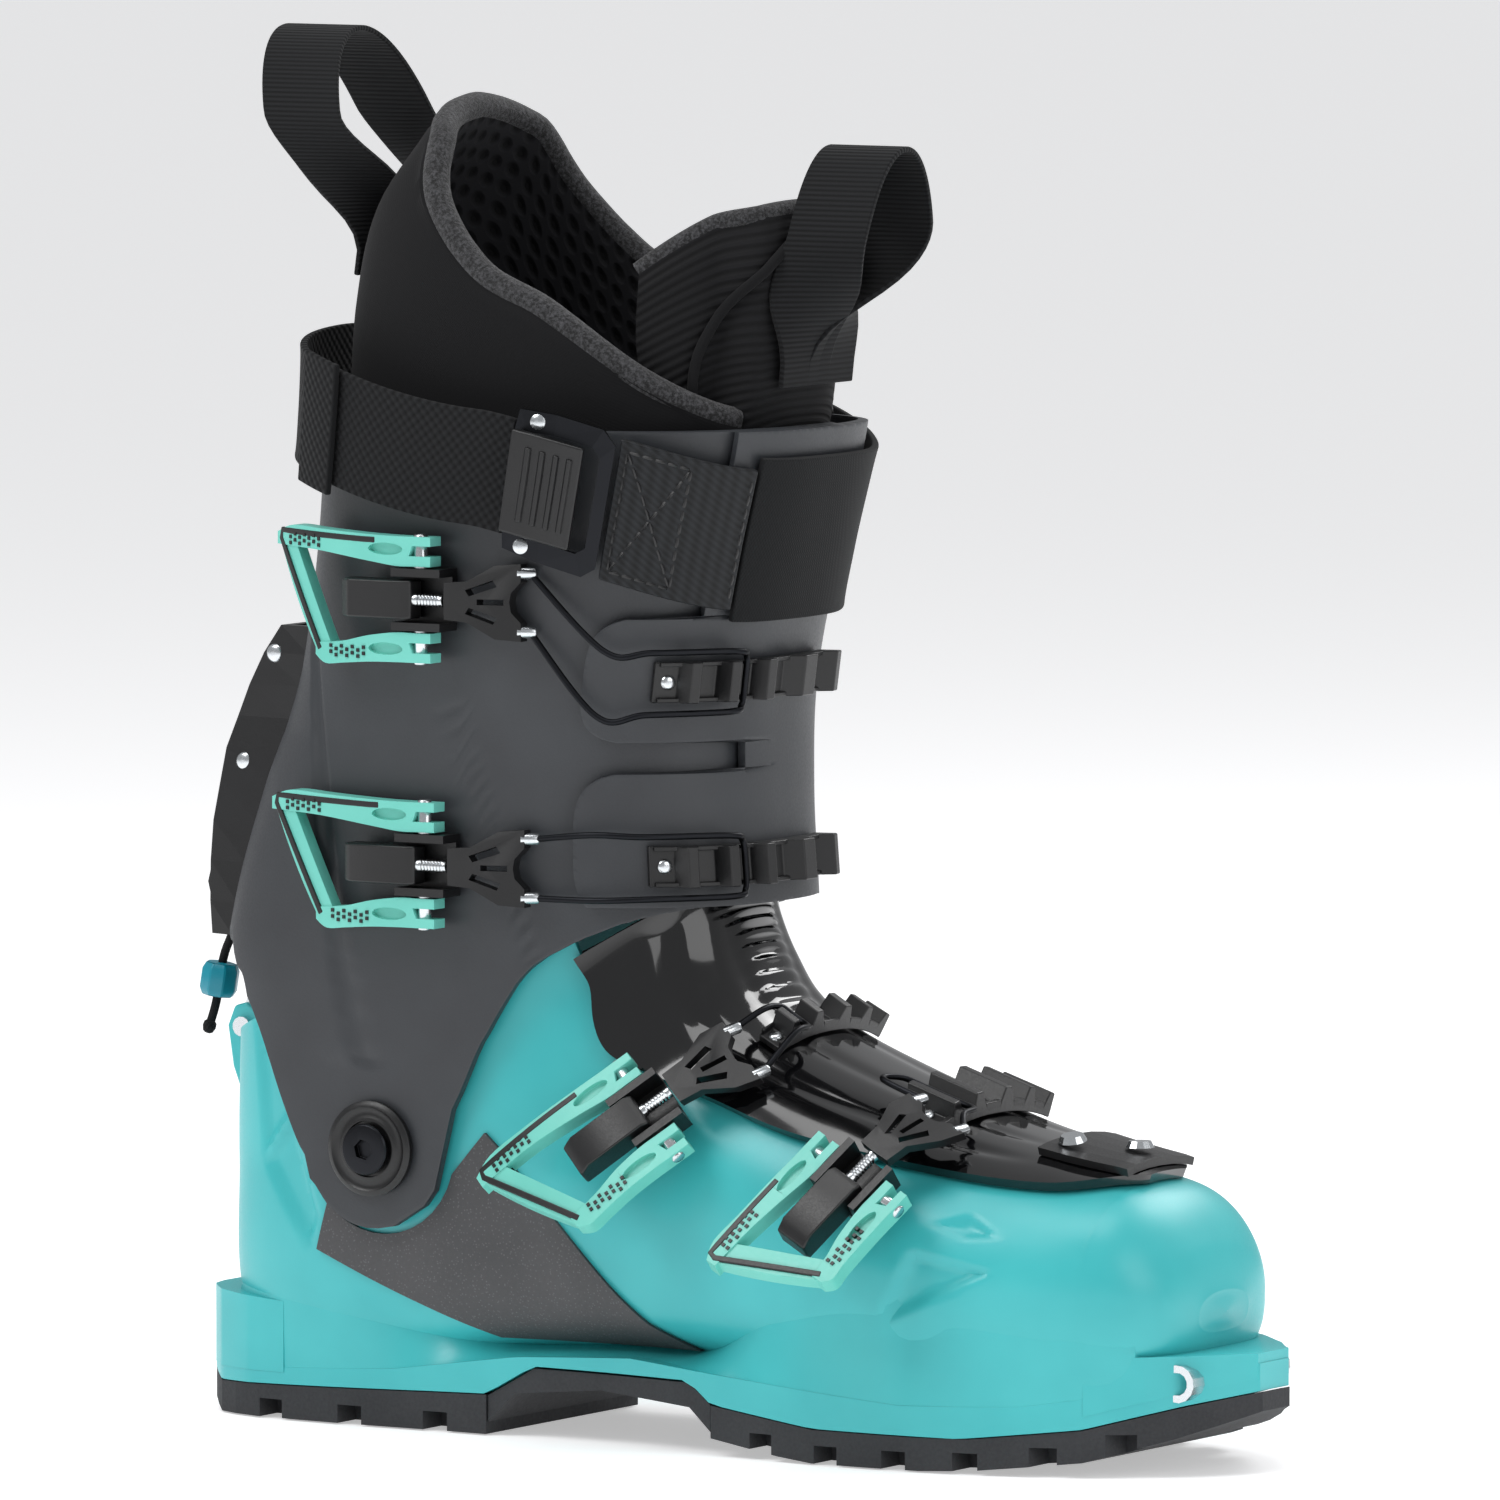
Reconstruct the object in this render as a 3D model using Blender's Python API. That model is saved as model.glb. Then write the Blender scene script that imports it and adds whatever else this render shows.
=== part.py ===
"""Alpine touring boot, right foot: a plastic shell, a turning cuff, four buckles, a power strap and an inner boot.

The frame: +X to the toe, +Y to the inner side of the foot, +Z up. The origin is on the heel tread's flat face,
straight below the ankle axis. Lengths below are in millimetres and become metres in new_object().
"""

import math

import bmesh
import bpy
from mathutils import Vector

MM = 0.001

# ---------------------------------------------------------------- driving sizes
SOLE_LENGTH = 292.0      # heel end to toe end
HEEL_BACK = 64.0         # heel end behind the ankle axis
LEG_TOP = 324.0          # top of the inner boot at the back
BALL_HALF = 47.0         # half width of the shell at the ball of the foot
ANKLE_HALF = 42.0        # half width of the shell at the ankle
PIVOT_Z = 70.0           # ankle axis above the floor
SHELL_WALL = 3.5
CUFF_WALL = 3.0
TONGUE_WALL = 2.5
TONGUE_ROOM = 0.8        # room between the shell and the tongue over it
LINER_WALL = 7.0
GAP = 0.3                # room between pieces that touch
CUFF_ROOM = 1.2          # room between the shell's side and the cuff
BOLT_RADIUS = 4.2
EAR_RADIUS = 20.0        # round end of the cuff beside the ankle
DISC_RADIUS = 11.8
SWEEP_RADIUS = 70.0      # nothing of the leg comes nearer to the ankle axis than this
STRAP_HEIGHT = 40.0
STRAP_THICK = 2.2
CABLE_RADIUS = 0.8
CORD_RADIUS = 1.1

TOE_END = SOLE_LENGTH - HEEL_BACK
CUFF_INNER = ANKLE_HALF + CUFF_ROOM
CUFF_OUTER = CUFF_INNER + CUFF_WALL

TOE_REFERENCE = 228.0    # toe end of the boot that the curves below describe
TOP_REFERENCE = 324.0
STRETCH_FROM = 140.0     # the leg changes its height above this level only


def along(x):
    """A place along the foot, stretched with the sole's length in front of the ankle."""
    return x * TOE_END / TOE_REFERENCE if x > 0 else x


def rise(z):
    """A height on the leg, stretched with the leg's height above the ankle."""
    if z < STRETCH_FROM:
        return z
    return STRETCH_FROM + (z - STRETCH_FROM) * (LEG_TOP - STRETCH_FROM) / (TOP_REFERENCE - STRETCH_FROM)


# ---------------------------------------------------------------- curves
# Sections of the foot from the toe (0) round the heel to the ankle (12). Each is a plane across the foot from a
# point under it to a point over it, with a half width. The last number is where the tongue's edge crosses it,
# as a share of the half height above the middle.
SECTIONS = [
    ((213, 33), (214, 43), 12 / 47, 1.0),
    ((210, 25), (210.5, 55), 26 / 47, 1.0),
    ((200, 18), (200, 67), 36 / 47, 1.0),
    ((180, 15), (180, 71.5), 43 / 47, 0.84),
    ((150, 14), (152, 78), 1.0, 0.76),
    ((110, 17), (118, 90), 0.985, 0.65),
    ((70, 20), (98, 99), 0.945, 0.63),
    ((35, 18), (88, 108), None, 0.58),
    ((0, 13), (83, 117), None, 0.55),
    ((-35, 11), (80, 125), None, 0.57),
    ((-56, 24), (78.5, 131), None, 0.58),
    ((-58, 60), (78, 138), None, 0.51),
    ((-57.5, 93), (78, 145), None, 0.51),
]
LAST = len(SECTIONS) - 1

# The leg: height, back, front and half width of the cuff's outer face, then of the inner boot above it.
LEG = [
    (45, -57.0, 84.0, CUFF_OUTER),
    (100, -57.5, 86.0, CUFF_OUTER),
    (125, -56.0, 87.5, CUFF_OUTER),
    (157, -48.0, 85.5, CUFF_OUTER + 0.3),
    (185, -38.0, 86.0, CUFF_OUTER + 0.8),
    (215, -33.0, 92.0, CUFF_OUTER + 2.0),
    (248, -30.5, 100.0, CUFF_OUTER + 2.8),
    (275, -29.0, 103.0, CUFF_OUTER + 1.5),
    (300, -23.0, 103.5, CUFF_OUTER - 2.0),
    (326, -6.0, 103.0, CUFF_OUTER - 8.0),
]


def between(a, b, t):
    return a + (b - a) * t


def spline(values, t):
    """A smooth curve through numbers at 0, 1, 2 and so on."""
    k = min(max(int(t), 0), len(values) - 2)
    u = t - k
    p0, p1, p2, p3 = (values[min(max(k + d, 0), len(values) - 1)] for d in (-1, 0, 1, 2))
    return 0.5 * (2 * p1 + (p2 - p0) * u + (2 * p0 - 5 * p1 + 4 * p2 - p3) * u * u
                  + (3 * p1 - p0 - 3 * p2 + p3) * u ** 3)


def graph(points, x):
    """The height at x of a line through (x, y) points."""
    if x <= points[0][0]:
        return points[0][1]
    for (x0, y0), (x1, y1) in zip(points, points[1:]):
        if x <= x1:
            return between(y0, y1, (x - x0) / (x1 - x0))
    return points[-1][1]


def smooth_graph(points, x):
    """As graph(), with a smooth curve through the points."""
    x = min(max(x, points[0][0]), points[-1][0])
    for k, ((x0, _), (x1, _)) in enumerate(zip(points, points[1:])):
        if x <= x1:
            return spline([p[1] for p in points], k + (x - x0) / (x1 - x0))
    return points[-1][1]


def rounded(angle, power):
    """Cosine and sine of a rounded square of this power."""
    c, s = math.cos(angle), math.sin(angle)
    return (math.copysign(abs(c) ** (2 / power), c), math.copysign(abs(s) ** (2 / power), s))


def half_width(k):
    share = SECTIONS[k][2]
    return ANKLE_HALF if share is None else share * BALL_HALF


def foot(section, angle, offset=0.0):
    """A point of the foot's outer face. The angle is 0 on top and grows towards the outer side."""
    bx = spline([along(s[0][0]) for s in SECTIONS], section)
    bz = spline([s[0][1] for s in SECTIONS], section)
    tx = spline([along(s[1][0]) for s in SECTIONS], section)
    tz = spline([s[1][1] for s in SECTIONS], section)
    half = spline([half_width(k) for k in range(len(SECTIONS))], section) + offset
    length = math.hypot(tx - bx, tz - bz) / 2
    reach = (length + offset) / length
    up, side = rounded(angle, 2.3 if math.cos(angle) > 0 else 2.9)
    return Vector((between(bx, tx, 0.5) + up * reach * (tx - bx) / 2, -half * side,
                   between(bz, tz, 0.5) + up * reach * (tz - bz) / 2))


def edge_angle(section):
    """The angle at which the tongue's edge crosses a section."""
    share = min(max(spline([s[3] for s in SECTIONS], section), 0.0), 1.0)
    return math.acos(share ** (2.3 / 2)) if section > 2.0 else 0.0


def leg(height, angle, offset=0.0):
    """A point round the leg at a height. The angle is 0 in front and grows towards the outer side."""
    back = smooth_graph([(z, b) for z, b, f, w in LEG], height)
    front = smooth_graph([(z, f) for z, b, f, w in LEG], height)
    half = smooth_graph([(z, w) for z, b, f, w in LEG], height) + offset
    boxy = graph([(110, 3.7), (170, 2.7)], height)
    ahead, side = rounded(angle, 2.5 if math.cos(angle) > 0 else boxy)
    reach = (front - back) / 2 + offset
    return Vector(((front + back) / 2 + ahead * reach, -half * side, rise(height)))


# ---------------------------------------------------------------- mesh tools
def colour_of(hex_code):
    parts = [int(hex_code[k:k + 2], 16) / 255 for k in (0, 2, 4)]
    return [p / 12.92 if p <= 0.04045 else ((p + 0.055) / 1.055) ** 2.4 for p in parts] + [1.0]


def finish_named(name, hex_code, roughness, metallic=0.0):
    material = bpy.data.materials.new(name)
    material.use_nodes = True
    shader = material.node_tree.nodes["Principled BSDF"]
    shader.inputs["Base Color"].default_value = colour_of(hex_code)
    shader.inputs["Roughness"].default_value = roughness
    shader.inputs["Metallic"].default_value = metallic
    return material


def new_object(name, points, faces, material, origin=(0, 0, 0)):
    """An object from points in millimetres, with its origin at a given place."""
    mesh = bpy.data.meshes.new(name)
    mesh.from_pydata([(Vector(p) - Vector(origin)) * MM for p in points], [], faces)
    mesh.validate()
    work = bmesh.new()
    work.from_mesh(mesh)
    bmesh.ops.recalc_face_normals(work, faces=work.faces[:])
    if work.calc_volume(signed=True) < 0:
        bmesh.ops.reverse_faces(work, faces=work.faces[:])
    work.to_mesh(mesh)
    work.free()
    mesh.shade_smooth()
    mesh.set_sharp_from_angle(angle=math.radians(35))
    mesh.materials.append(material)
    piece = bpy.data.objects.new(name, mesh)
    piece.location = Vector(origin) * MM
    bpy.context.scene.collection.objects.link(piece)
    return piece


def boolean(piece, others, operation):
    """Cuts other objects out of a piece, or joins them to it, and removes them."""
    for other in others:
        step = piece.modifiers.new("step", "BOOLEAN")
        step.object = other
        step.operation = operation
        step.solver = "EXACT"
        bpy.context.view_layer.update()
        result = bpy.data.meshes.new_from_object(piece.evaluated_get(bpy.context.evaluated_depsgraph_get()))
        piece.modifiers.remove(step)
        result.name = piece.name
        piece.data = result
        bpy.data.objects.remove(other)
    piece.data.shade_smooth()
    piece.data.set_sharp_from_angle(angle=math.radians(35))
    return piece


def layer(name, material, outer, inner, cap_start=False, origin=(0, 0, 0)):
    """A closed skin between two grids of points of the same size. Points that meet are joined."""
    points, lookup = [], {}

    def number(point, face):
        key = (face,) + tuple(round(c, 3) for c in point)
        if key not in lookup:
            lookup[key] = len(points)
            points.append(point)
        return lookup[key]

    out = [[number(p, 0) for p in row] for row in outer]
    inn = [[number(p, 1) for p in row] for row in inner]
    partner, faces, edges = {}, [], {}
    for row_out, row_in in zip(out, inn):
        for a, b in zip(row_out, row_in):
            partner[a] = b

    def add(loop, keep_edges):
        slim = [v for k, v in enumerate(loop) if v != loop[k - 1]]
        if len(slim) < 3:
            return
        faces.append(slim)
        if keep_edges:
            for a, b in zip(slim, slim[1:] + slim[:1]):
                edges[(a, b)] = edges.get((a, b), 0) + 1

    for i in range(len(out) - 1):
        for j in range(len(out[i]) - 1):
            add([out[i][j], out[i][j + 1], out[i + 1][j + 1], out[i + 1][j]], True)
            add([inn[i + 1][j], inn[i + 1][j + 1], inn[i][j + 1], inn[i][j]], False)
    if cap_start:
        add(out[0][:-1][::-1], True)
        add(inn[0][:-1], False)
    for a, b in list(edges):
        if (b, a) not in edges:
            add([b, a, partner[a], partner[b]], False)
    return new_object(name, points, faces, material, origin)


def solid_rows(name, rows, material, origin=(0, 0, 0)):
    """A closed solid from rings of points of the same count, with its two ends closed."""
    count = len(rows[0])
    points = [p for row in rows for p in row]
    faces = [list(range(count))[::-1], list(range(len(points) - count, len(points)))]
    for k in range(len(rows) - 1):
        for j in range(count):
            a, b = k * count + j, k * count + (j + 1) % count
            faces.append([a, b, b + count, a + count])
    return new_object(name, points, faces, material, origin)


def prism(name, outline, place, low, high, material, origin=(0, 0, 0)):
    """An outline of (a, b) points drawn out from low to high; place(a, b, depth) gives each point."""
    rows = [[place(a, b, depth) for a, b in outline] for depth in (low, high)]
    return solid_rows(name, rows, material, origin)


def block(name, low, high, material):
    outline = [(low[0], low[1]), (high[0], low[1]), (high[0], high[1]), (low[0], high[1])]
    return prism(name, outline, lambda x, y, z: Vector((x, y, z)), low[2], high[2], material)


def rod(name, start, end, radius, sides, material, origin=(0, 0, 0), end_radius=None):
    start, end = Vector(start), Vector(end)
    axis = (end - start).normalized()
    side = axis.orthogonal().normalized()
    across = axis.cross(side)
    turns = [2 * math.pi * k / sides for k in range(sides)]
    rows = []
    for place, size in ((start, radius), (end, radius if end_radius is None else end_radius)):
        rows.append([place + size * (math.cos(t) * side + math.sin(t) * across) for t in turns])
    return solid_rows(name, rows, material, origin)


def frame_solid(name, outer, inner, place, low, high, material, origin=(0, 0, 0)):
    """A flat frame: an outline with a window. Both outlines have the same count of points."""
    count = len(outer)
    points = [place(a, b, depth) for depth in (low, high) for loop in (outer, inner) for a, b in loop]
    faces = []
    for k in range(count):
        n = (k + 1) % count
        lo, li, ho, hi = k, count + k, 2 * count + k, 3 * count + k
        lo2, li2, ho2, hi2 = n, count + n, 2 * count + n, 3 * count + n
        faces += [[lo2, lo, li, li2], [ho, ho2, hi2, hi], [lo, lo2, ho2, ho], [li2, li, hi, hi2]]
    return new_object(name, points, faces, material, origin)


def arc(centre, radius, start, end, count):
    """Points on a round corner; angles in degrees."""
    steps = [math.radians(between(start, end, k / count)) for k in range(count + 1)]
    return [(centre[0] + radius * math.cos(t), centre[1] + radius * math.sin(t)) for t in steps]


def tube(name, route, radius, material, step, origin=(0, 0, 0)):
    """A cord or cable: a smooth line through the route's points, with a round section."""
    places = []
    for k in range(len(route) - 1):
        count = max(1, round((Vector(route[k + 1]) - Vector(route[k])).length / step))
        for j in range(count):
            places.append([spline([p[axis] for p in route], k + j / count) for axis in range(3)])
    places.append(list(route[-1]))
    curve = bpy.data.curves.new(name, "CURVE")
    curve.dimensions = "3D"
    curve.bevel_depth = radius * MM
    curve.bevel_resolution = 2
    curve.use_fill_caps = True
    line = curve.splines.new("POLY")
    line.points.add(len(places) - 1)
    for point, place in zip(line.points, places):
        point.co = [(c - o) * MM for c, o in zip(place, origin)] + [1.0]
    curve.materials.append(material)
    piece = bpy.data.objects.new(name, curve)
    piece.location = Vector(origin) * MM
    bpy.context.scene.collection.objects.link(piece)
    return piece


# ---------------------------------------------------------------- sole
SOLE_HALF = [(-64, 12), (-62, 21), (-56, 28), (-45, 33), (-20, 35.5), (20, 36), (60, 38.5), (95, 44), (135, 47),
             (168, 45), (192, 38.5), (208, 29), (220, 17), (228, 7)]
TREAD_BOTTOM = [(-64, 3.5), (-56, 0), (26, 0), (34, 12), (88, 12.5), (95, 4.0), (122, 0), (162, 0), (195, 3.4),
                (215, 9.5), (228, 15.0)]


def sole_half(x):
    return smooth_graph([(along(a), b) for a, b in SOLE_HALF], x)


def tread_bottom(x):
    return graph([(along(a), b) for a, b in TREAD_BOTTOM], x)


def strip(name, places, inset, bottom, top, material):
    """A slab that follows the sole's outline, with its own lower and upper line."""
    rows = []
    for x in places:
        half = sole_half(x) - inset
        rows.append([Vector((x, -half, bottom(x))), Vector((x, half, bottom(x))),
                     Vector((x, half, top(x))), Vector((x, -half, top(x)))])
    return solid_rows(name, rows, material)


def steps(start, end, count):
    return [between(start, end, k / count) for k in range(count + 1)]


SHELL_BOTTOM = [(-64, 11), (-56, 8), (26, 10), (40, 17.6), (88, 17.6), (95, 12.3), (125, 8.5), (165, 8.3),
                (195, 11.5), (215, 17.0), (228, 20.0)]


def shell_bottom(x):
    return graph([(along(a), b) for a, b in SHELL_BOTTOM], x)


def lug_notches(places, bottom, depth, width, top, material):
    """Cutters for the gaps between the lugs, on both sides of the tread."""
    cutters = []
    for x in places:
        half = sole_half(x)
        for side in (-1, 1):
            inner, outer = side * (half - depth), side * (half + 5)
            cutters.append(block("notch", (x - width / 2, min(inner, outer), bottom(x) - 5),
                                 (x + width / 2, max(inner, outer), bottom(x) + top), material))
    return cutters


def make_treads(rubber):
    heel_places = [-64, -62, -59, -56, -50, -42, -30, -15, 0, 15, 26]
    heel = strip("outsole_heel", heel_places, 0.4, tread_bottom, lambda x: shell_bottom(x) - GAP, rubber)
    boolean(heel, lug_notches([-38, -14, 11], tread_bottom, 9, 7, 4.6, rubber), "DIFFERENCE")
    waist_places = [26.3, 34, 40, 60, along(88), along(94.5)]
    low = [(26.3, 3.0), (34, 10.5), (60, 13.0), (88, 11.0), (94.5, 5.5)]
    strip("outsole_waist", waist_places, 1.0, lambda x: graph([(along(a), b) for a, b in low], x),
          lambda x: shell_bottom(x) - 2 * GAP, rubber)
    toe_places = [along(x) for x in (95, 104, 115, 125, 140, 155, 168, 182, 195, 205, 213, 220, 225, 228)]
    toe = strip("outsole_toe", toe_places, 0.4, tread_bottom, lambda x: shell_bottom(x) - GAP, rubber)
    notches = [along(x) for x in (110, 129, 148, 167, 186, 203)]
    boolean(toe, lug_notches(notches, tread_bottom, 9, 6.5, 4.4, rubber), "DIFFERENCE")


# ---------------------------------------------------------------- shell
SHELL_RING = 22
WELT_TOP = 29.0          # ledge round the toe
INSERT_AT = (214.0, 22.4)
INSERT_RADIUS = 4.6
THROAT_LIP = math.radians(7)     # how far the tongue lies over the shell's edge


def ring_angles(gap, count):
    return [between(gap, 2 * math.pi - gap, j / count) for j in range(count + 1)]


def throat_angle(section):
    return max(0.0, edge_angle(section) - THROAT_LIP) if section > 2.3 else 0.0


def foot_rows(sections, offset, open_angle, count):
    return [[foot(s, a, offset) for a in ring_angles(open_angle(s), count)] for s in sections]


SHELL_STEPS = 24
TOE_SKIN = 0.45      # the hollow starts this far into the sections, so that the toe has a wall


def shell_sections():
    return [LAST * k / SHELL_STEPS for k in range(SHELL_STEPS + 1)]


def hollow_section(s):
    return between(TOE_SKIN, LAST, s / LAST)


HEEL_PIN = (-60.5, 94.0)
TOWER_HALF = 10.0        # two cheeks behind the heel that hold the lean bar's pin
TOWER = [(-55.6, 66), (-58.5, 70), (-64, 84), (-65.5, 94), (-63.5, 99), (-60, 100), (-55.6, 97)]
BAR_HALF = 6.0


def make_shell(plastic):
    outer, inner = [], []
    for s in shell_sections():
        t = hollow_section(s)
        outer.append([foot(s, a) for a in ring_angles(throat_angle(s), SHELL_RING)])
        inner.append([foot(t, a, -SHELL_WALL) for a in ring_angles(throat_angle(s), SHELL_RING)])
    shell = layer("shell_lower", plastic, outer, inner, cap_start=True)

    places = [-63.5, -62, -59, -55, -45, -20, 10, 26, 40, 60, 88] + [along(x) for x in (
        95, 125, 150, 168, 182, 195, 207, 216, 223, 227.5)]
    under = [(along(s[0][0]), s[0][1]) for s in SECTIONS[9:0:-1]]
    slab = strip("slab", places, 0.3, shell_bottom, lambda x: max(graph(under, x) + 1.6, shell_bottom(x) + 2), plastic)
    heel = strip("heel", [-63.2, -61.7, -58.6, -54.2, -44.1, -33.7], 0.1, lambda x: 11.5,
                 lambda x: 31.0 - 0.06 * (x + 64), plastic)
    toe = strip("toe", [along(x) for x in (195.3, 201.4, 208.3, 216.4, 222.6, 227.2)], 0.1,
                lambda x: shell_bottom(x) + 3.1, lambda x: WELT_TOP, plastic)
    tower = prism("tower", TOWER, lambda x, z, y: Vector((x, y, z)), -TOWER_HALF, TOWER_HALF, plastic)
    room = SHELL_WALL + GAP
    for ledge, first, last in ((heel, 8.6, LAST - 0.6), (toe, 0.7, 3.2)):
        rows = [[foot(s, a, -room) for a in ring_angles(0.0, SHELL_RING)[:-1]] for s in
                [between(first, last, k / 14) for k in range(15)]]
        boolean(ledge, [solid_rows("hollow", rows, plastic)], "DIFFERENCE")
    boolean(shell, [slab, heel, toe, tower], "UNION")

    slot = block("slot", (-80, -BAR_HALF - GAP, 84), (-40, BAR_HALF + GAP, 120), plastic)
    pin = rod("pin", (HEEL_PIN[0], -20, HEEL_PIN[1]), (HEEL_PIN[0], 20, HEEL_PIN[1]), 2.5 + GAP, 12, plastic)
    bolts = rod("bolts", (0, -60, PIVOT_Z), (0, 60, PIVOT_Z), BOLT_RADIUS + GAP, 16, plastic)
    socket = block("socket", (-80, -13, 16), (-57, 13, 26.5), plastic)
    toe_socket = rod("toe_socket", (along(INSERT_AT[0]), -60, INSERT_AT[1]), (along(INSERT_AT[0]), 60, INSERT_AT[1]),
                     INSERT_RADIUS + GAP, 14, plastic)
    boolean(shell, [slot, pin, bolts, socket, toe_socket], "DIFFERENCE")
    return shell


def make_inserts(steel):
    x, z = along(INSERT_AT[0]), INSERT_AT[1]
    reach = sole_half(x) + 0.8
    bar = rod("toe_insert", (x, -reach, z), (x, reach, z), INSERT_RADIUS, 14, steel)
    dimples = [rod("dimple", (x, side * (reach + 1), z), (x, side * (reach - 4), z), 2.8, 12, steel)
               for side in (-1, 1)]
    boolean(bar, dimples, "DIFFERENCE")
    outline = [(-64.3, -12.6), (-57.4, -12.6), (-57.4, 12.6), (-64.3, 12.6), (-64.3, 6), (-60, 5), (-60, 2),
               (-64.3, 1.5), (-64.3, -1.5), (-60, -2), (-60, -5), (-64.3, -6)]
    prism("heel_insert", outline, lambda x, y, z: Vector((x, y, z)), 16.4, 26.1, steel)
    rod("heel_pin", (HEEL_PIN[0], -11.5, HEEL_PIN[1]), (HEEL_PIN[0], 11.5, HEEL_PIN[1]), 2.5, 12, steel)


def make_frame_panels(carbon):
    """The carbon frame that shows on each side of the shell."""
    outline = arc((0, PIVOT_Z), EAR_RADIUS + 1.5, 222, 345, 8) + [
        (30, 75), (34, 71.5), (74, 30), (85, 23.5), (60, 23.5), (28, 23.5), (-20, 43.5)]
    for name, side in (("frame_panel_outer", 1), ("frame_panel_inner", -1)):
        def grid(offset):
            return [[foot(s, side * math.radians(a), offset) for a in range(60, 181, 10)]
                    for s in [between(5.2, 11.0, k / 14) for k in range(15)]]
        panel = layer(name, carbon, grid(GAP + 0.8), grid(GAP))
        cutter = prism("cutter", outline, lambda x, z, y: Vector((x, -side * y, z)), 22, 60, carbon)
        boolean(panel, [cutter], "INTERSECT")


TONGUE_END = 10.6        # the tongue's top end, which the cuff's front edge passes over as it turns


def make_tongue(gloss, matt, steel):
    sections = [2.12] + [s for s in shell_sections() if 2.2 < s < TONGUE_END]

    def grid(offset):
        rows = []
        for s in sections:
            edge = max(edge_angle(s), math.radians(6)) * (1.0 if s < 9 else 0.92)
            rows.append([foot(s, between(-edge, edge, j / 8), offset) for j in range(9)])
        return rows

    axis = (along(192), 0, 73)
    layer("shell_tongue", gloss, grid(TONGUE_ROOM + TONGUE_WALL), grid(TONGUE_ROOM), origin=axis)

    def plate(offset):
        return [[foot(s, math.radians(a), offset) for a in (-19, -13, -6, 0, 6, 13, 19)]
                for s in (2.25, 2.4, 2.7, 3.0, 3.3)]

    top = TONGUE_ROOM + TONGUE_WALL + GAP
    layer("tongue_hinge_plate", matt, plate(top + 2.0), plate(top))
    for k, (s, a) in enumerate(((3.1, 10), (2.55, 0))):
        place = foot(s, math.radians(a), top + 2.0 + 3 * GAP)
        up = (foot(s, math.radians(a), 20) - place).normalized()
        rod(f"hinge_screw_{k + 1}", place, place + up * 1.6, 3.6, 12, steel, end_radius=2.8)


# ---------------------------------------------------------------- cuff
CUFF_EDGE = [(-57, 115), (-50, 121), (-45, 113), (-40, 105), (-19.5, 66), (-18, 61), (-14, 55.7), (-8, 51.7),
             (0, 50), (8, 51.7), (14, 55.7), (18, 61), (20, 70), (22, 79.5), (30, 96), (42, 114), (52, 121),
             (65, 127), (80, 131), (95, 132)]
CUFF_TOP = 248.0
OVERLAP = math.radians(62)     # how far the inner flap lies over the outer one, from the front
UNDERLAP = math.radians(8)
FLAP_RISE = CUFF_WALL + 0.5


def lowest(angle):
    """Where the cuff ends at the bottom, along one upright line of it."""
    height = 200.0
    while height > 45.0 and height >= graph(CUFF_EDGE, leg(height, angle).x):
        height -= 0.5
    return height + 0.5


def tab_reach(height):
    """How far the over flap reaches round at a height: two tabs with round ends and a slot between them."""
    for low, high in ((128, 165), (171.5, 203)):
        if low <= height <= high:
            share = abs(2 * (height - low) / (high - low) - 1)
            return OVERLAP * (0.6 + 0.4 * (1 - share ** 4) ** 0.25)
    return OVERLAP * (0.2 if height < 200 else 0.5)


def flap_offset(angle):
    """The over flap lifts off smoothly as it comes round the inner side of the leg."""
    t = min(max((angle + math.radians(75)) / math.radians(60), 0.0), 1.0)
    return FLAP_RISE * t * t * (3 - 2 * t)


CUFF_ROWS = 16
CUFF_COLUMNS = 36
FLAP_COLUMNS = 5
NOTCH_HALF = 13.0        # slot at the back of the cuff for the lean bar
NOTCH_TOP = 166.0


def make_cuff(plastic):
    """One sheet from the outer front, round the back and the inner side, and over its own start in front."""
    outer, inner = [], []
    for j in range(CUFF_COLUMNS + FLAP_COLUMNS + 1):
        row_out, row_in = [], []
        base = between(-UNDERLAP, 2 * math.pi, min(j / CUFF_COLUMNS, 1.0))
        bottom = lowest(math.remainder(base, 2 * math.pi))
        for k in range(CUFF_ROWS + 1):
            height = between(bottom, CUFF_TOP, k / CUFF_ROWS)
            angle = base + tab_reach(height) * max(0.0, (j - CUFF_COLUMNS) / FLAP_COLUMNS)
            lift = flap_offset(angle - 2 * math.pi)
            row_out.append(leg(height, angle, lift))
            row_in.append(leg(height, angle, lift - CUFF_WALL))
        outer.append(row_out)
        inner.append(row_in)
    cuff = layer("cuff", plastic, outer, inner, origin=(0, 0, PIVOT_Z))
    notch = block("notch", (-90, -NOTCH_HALF, 90), (-30, NOTCH_HALF, NOTCH_TOP), plastic)
    bolts = rod("bolts", (0, -60, PIVOT_Z), (0, 60, PIVOT_Z), BOLT_RADIUS + GAP, 16, plastic)
    boolean(cuff, [notch, bolts], "DIFFERENCE")


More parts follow.
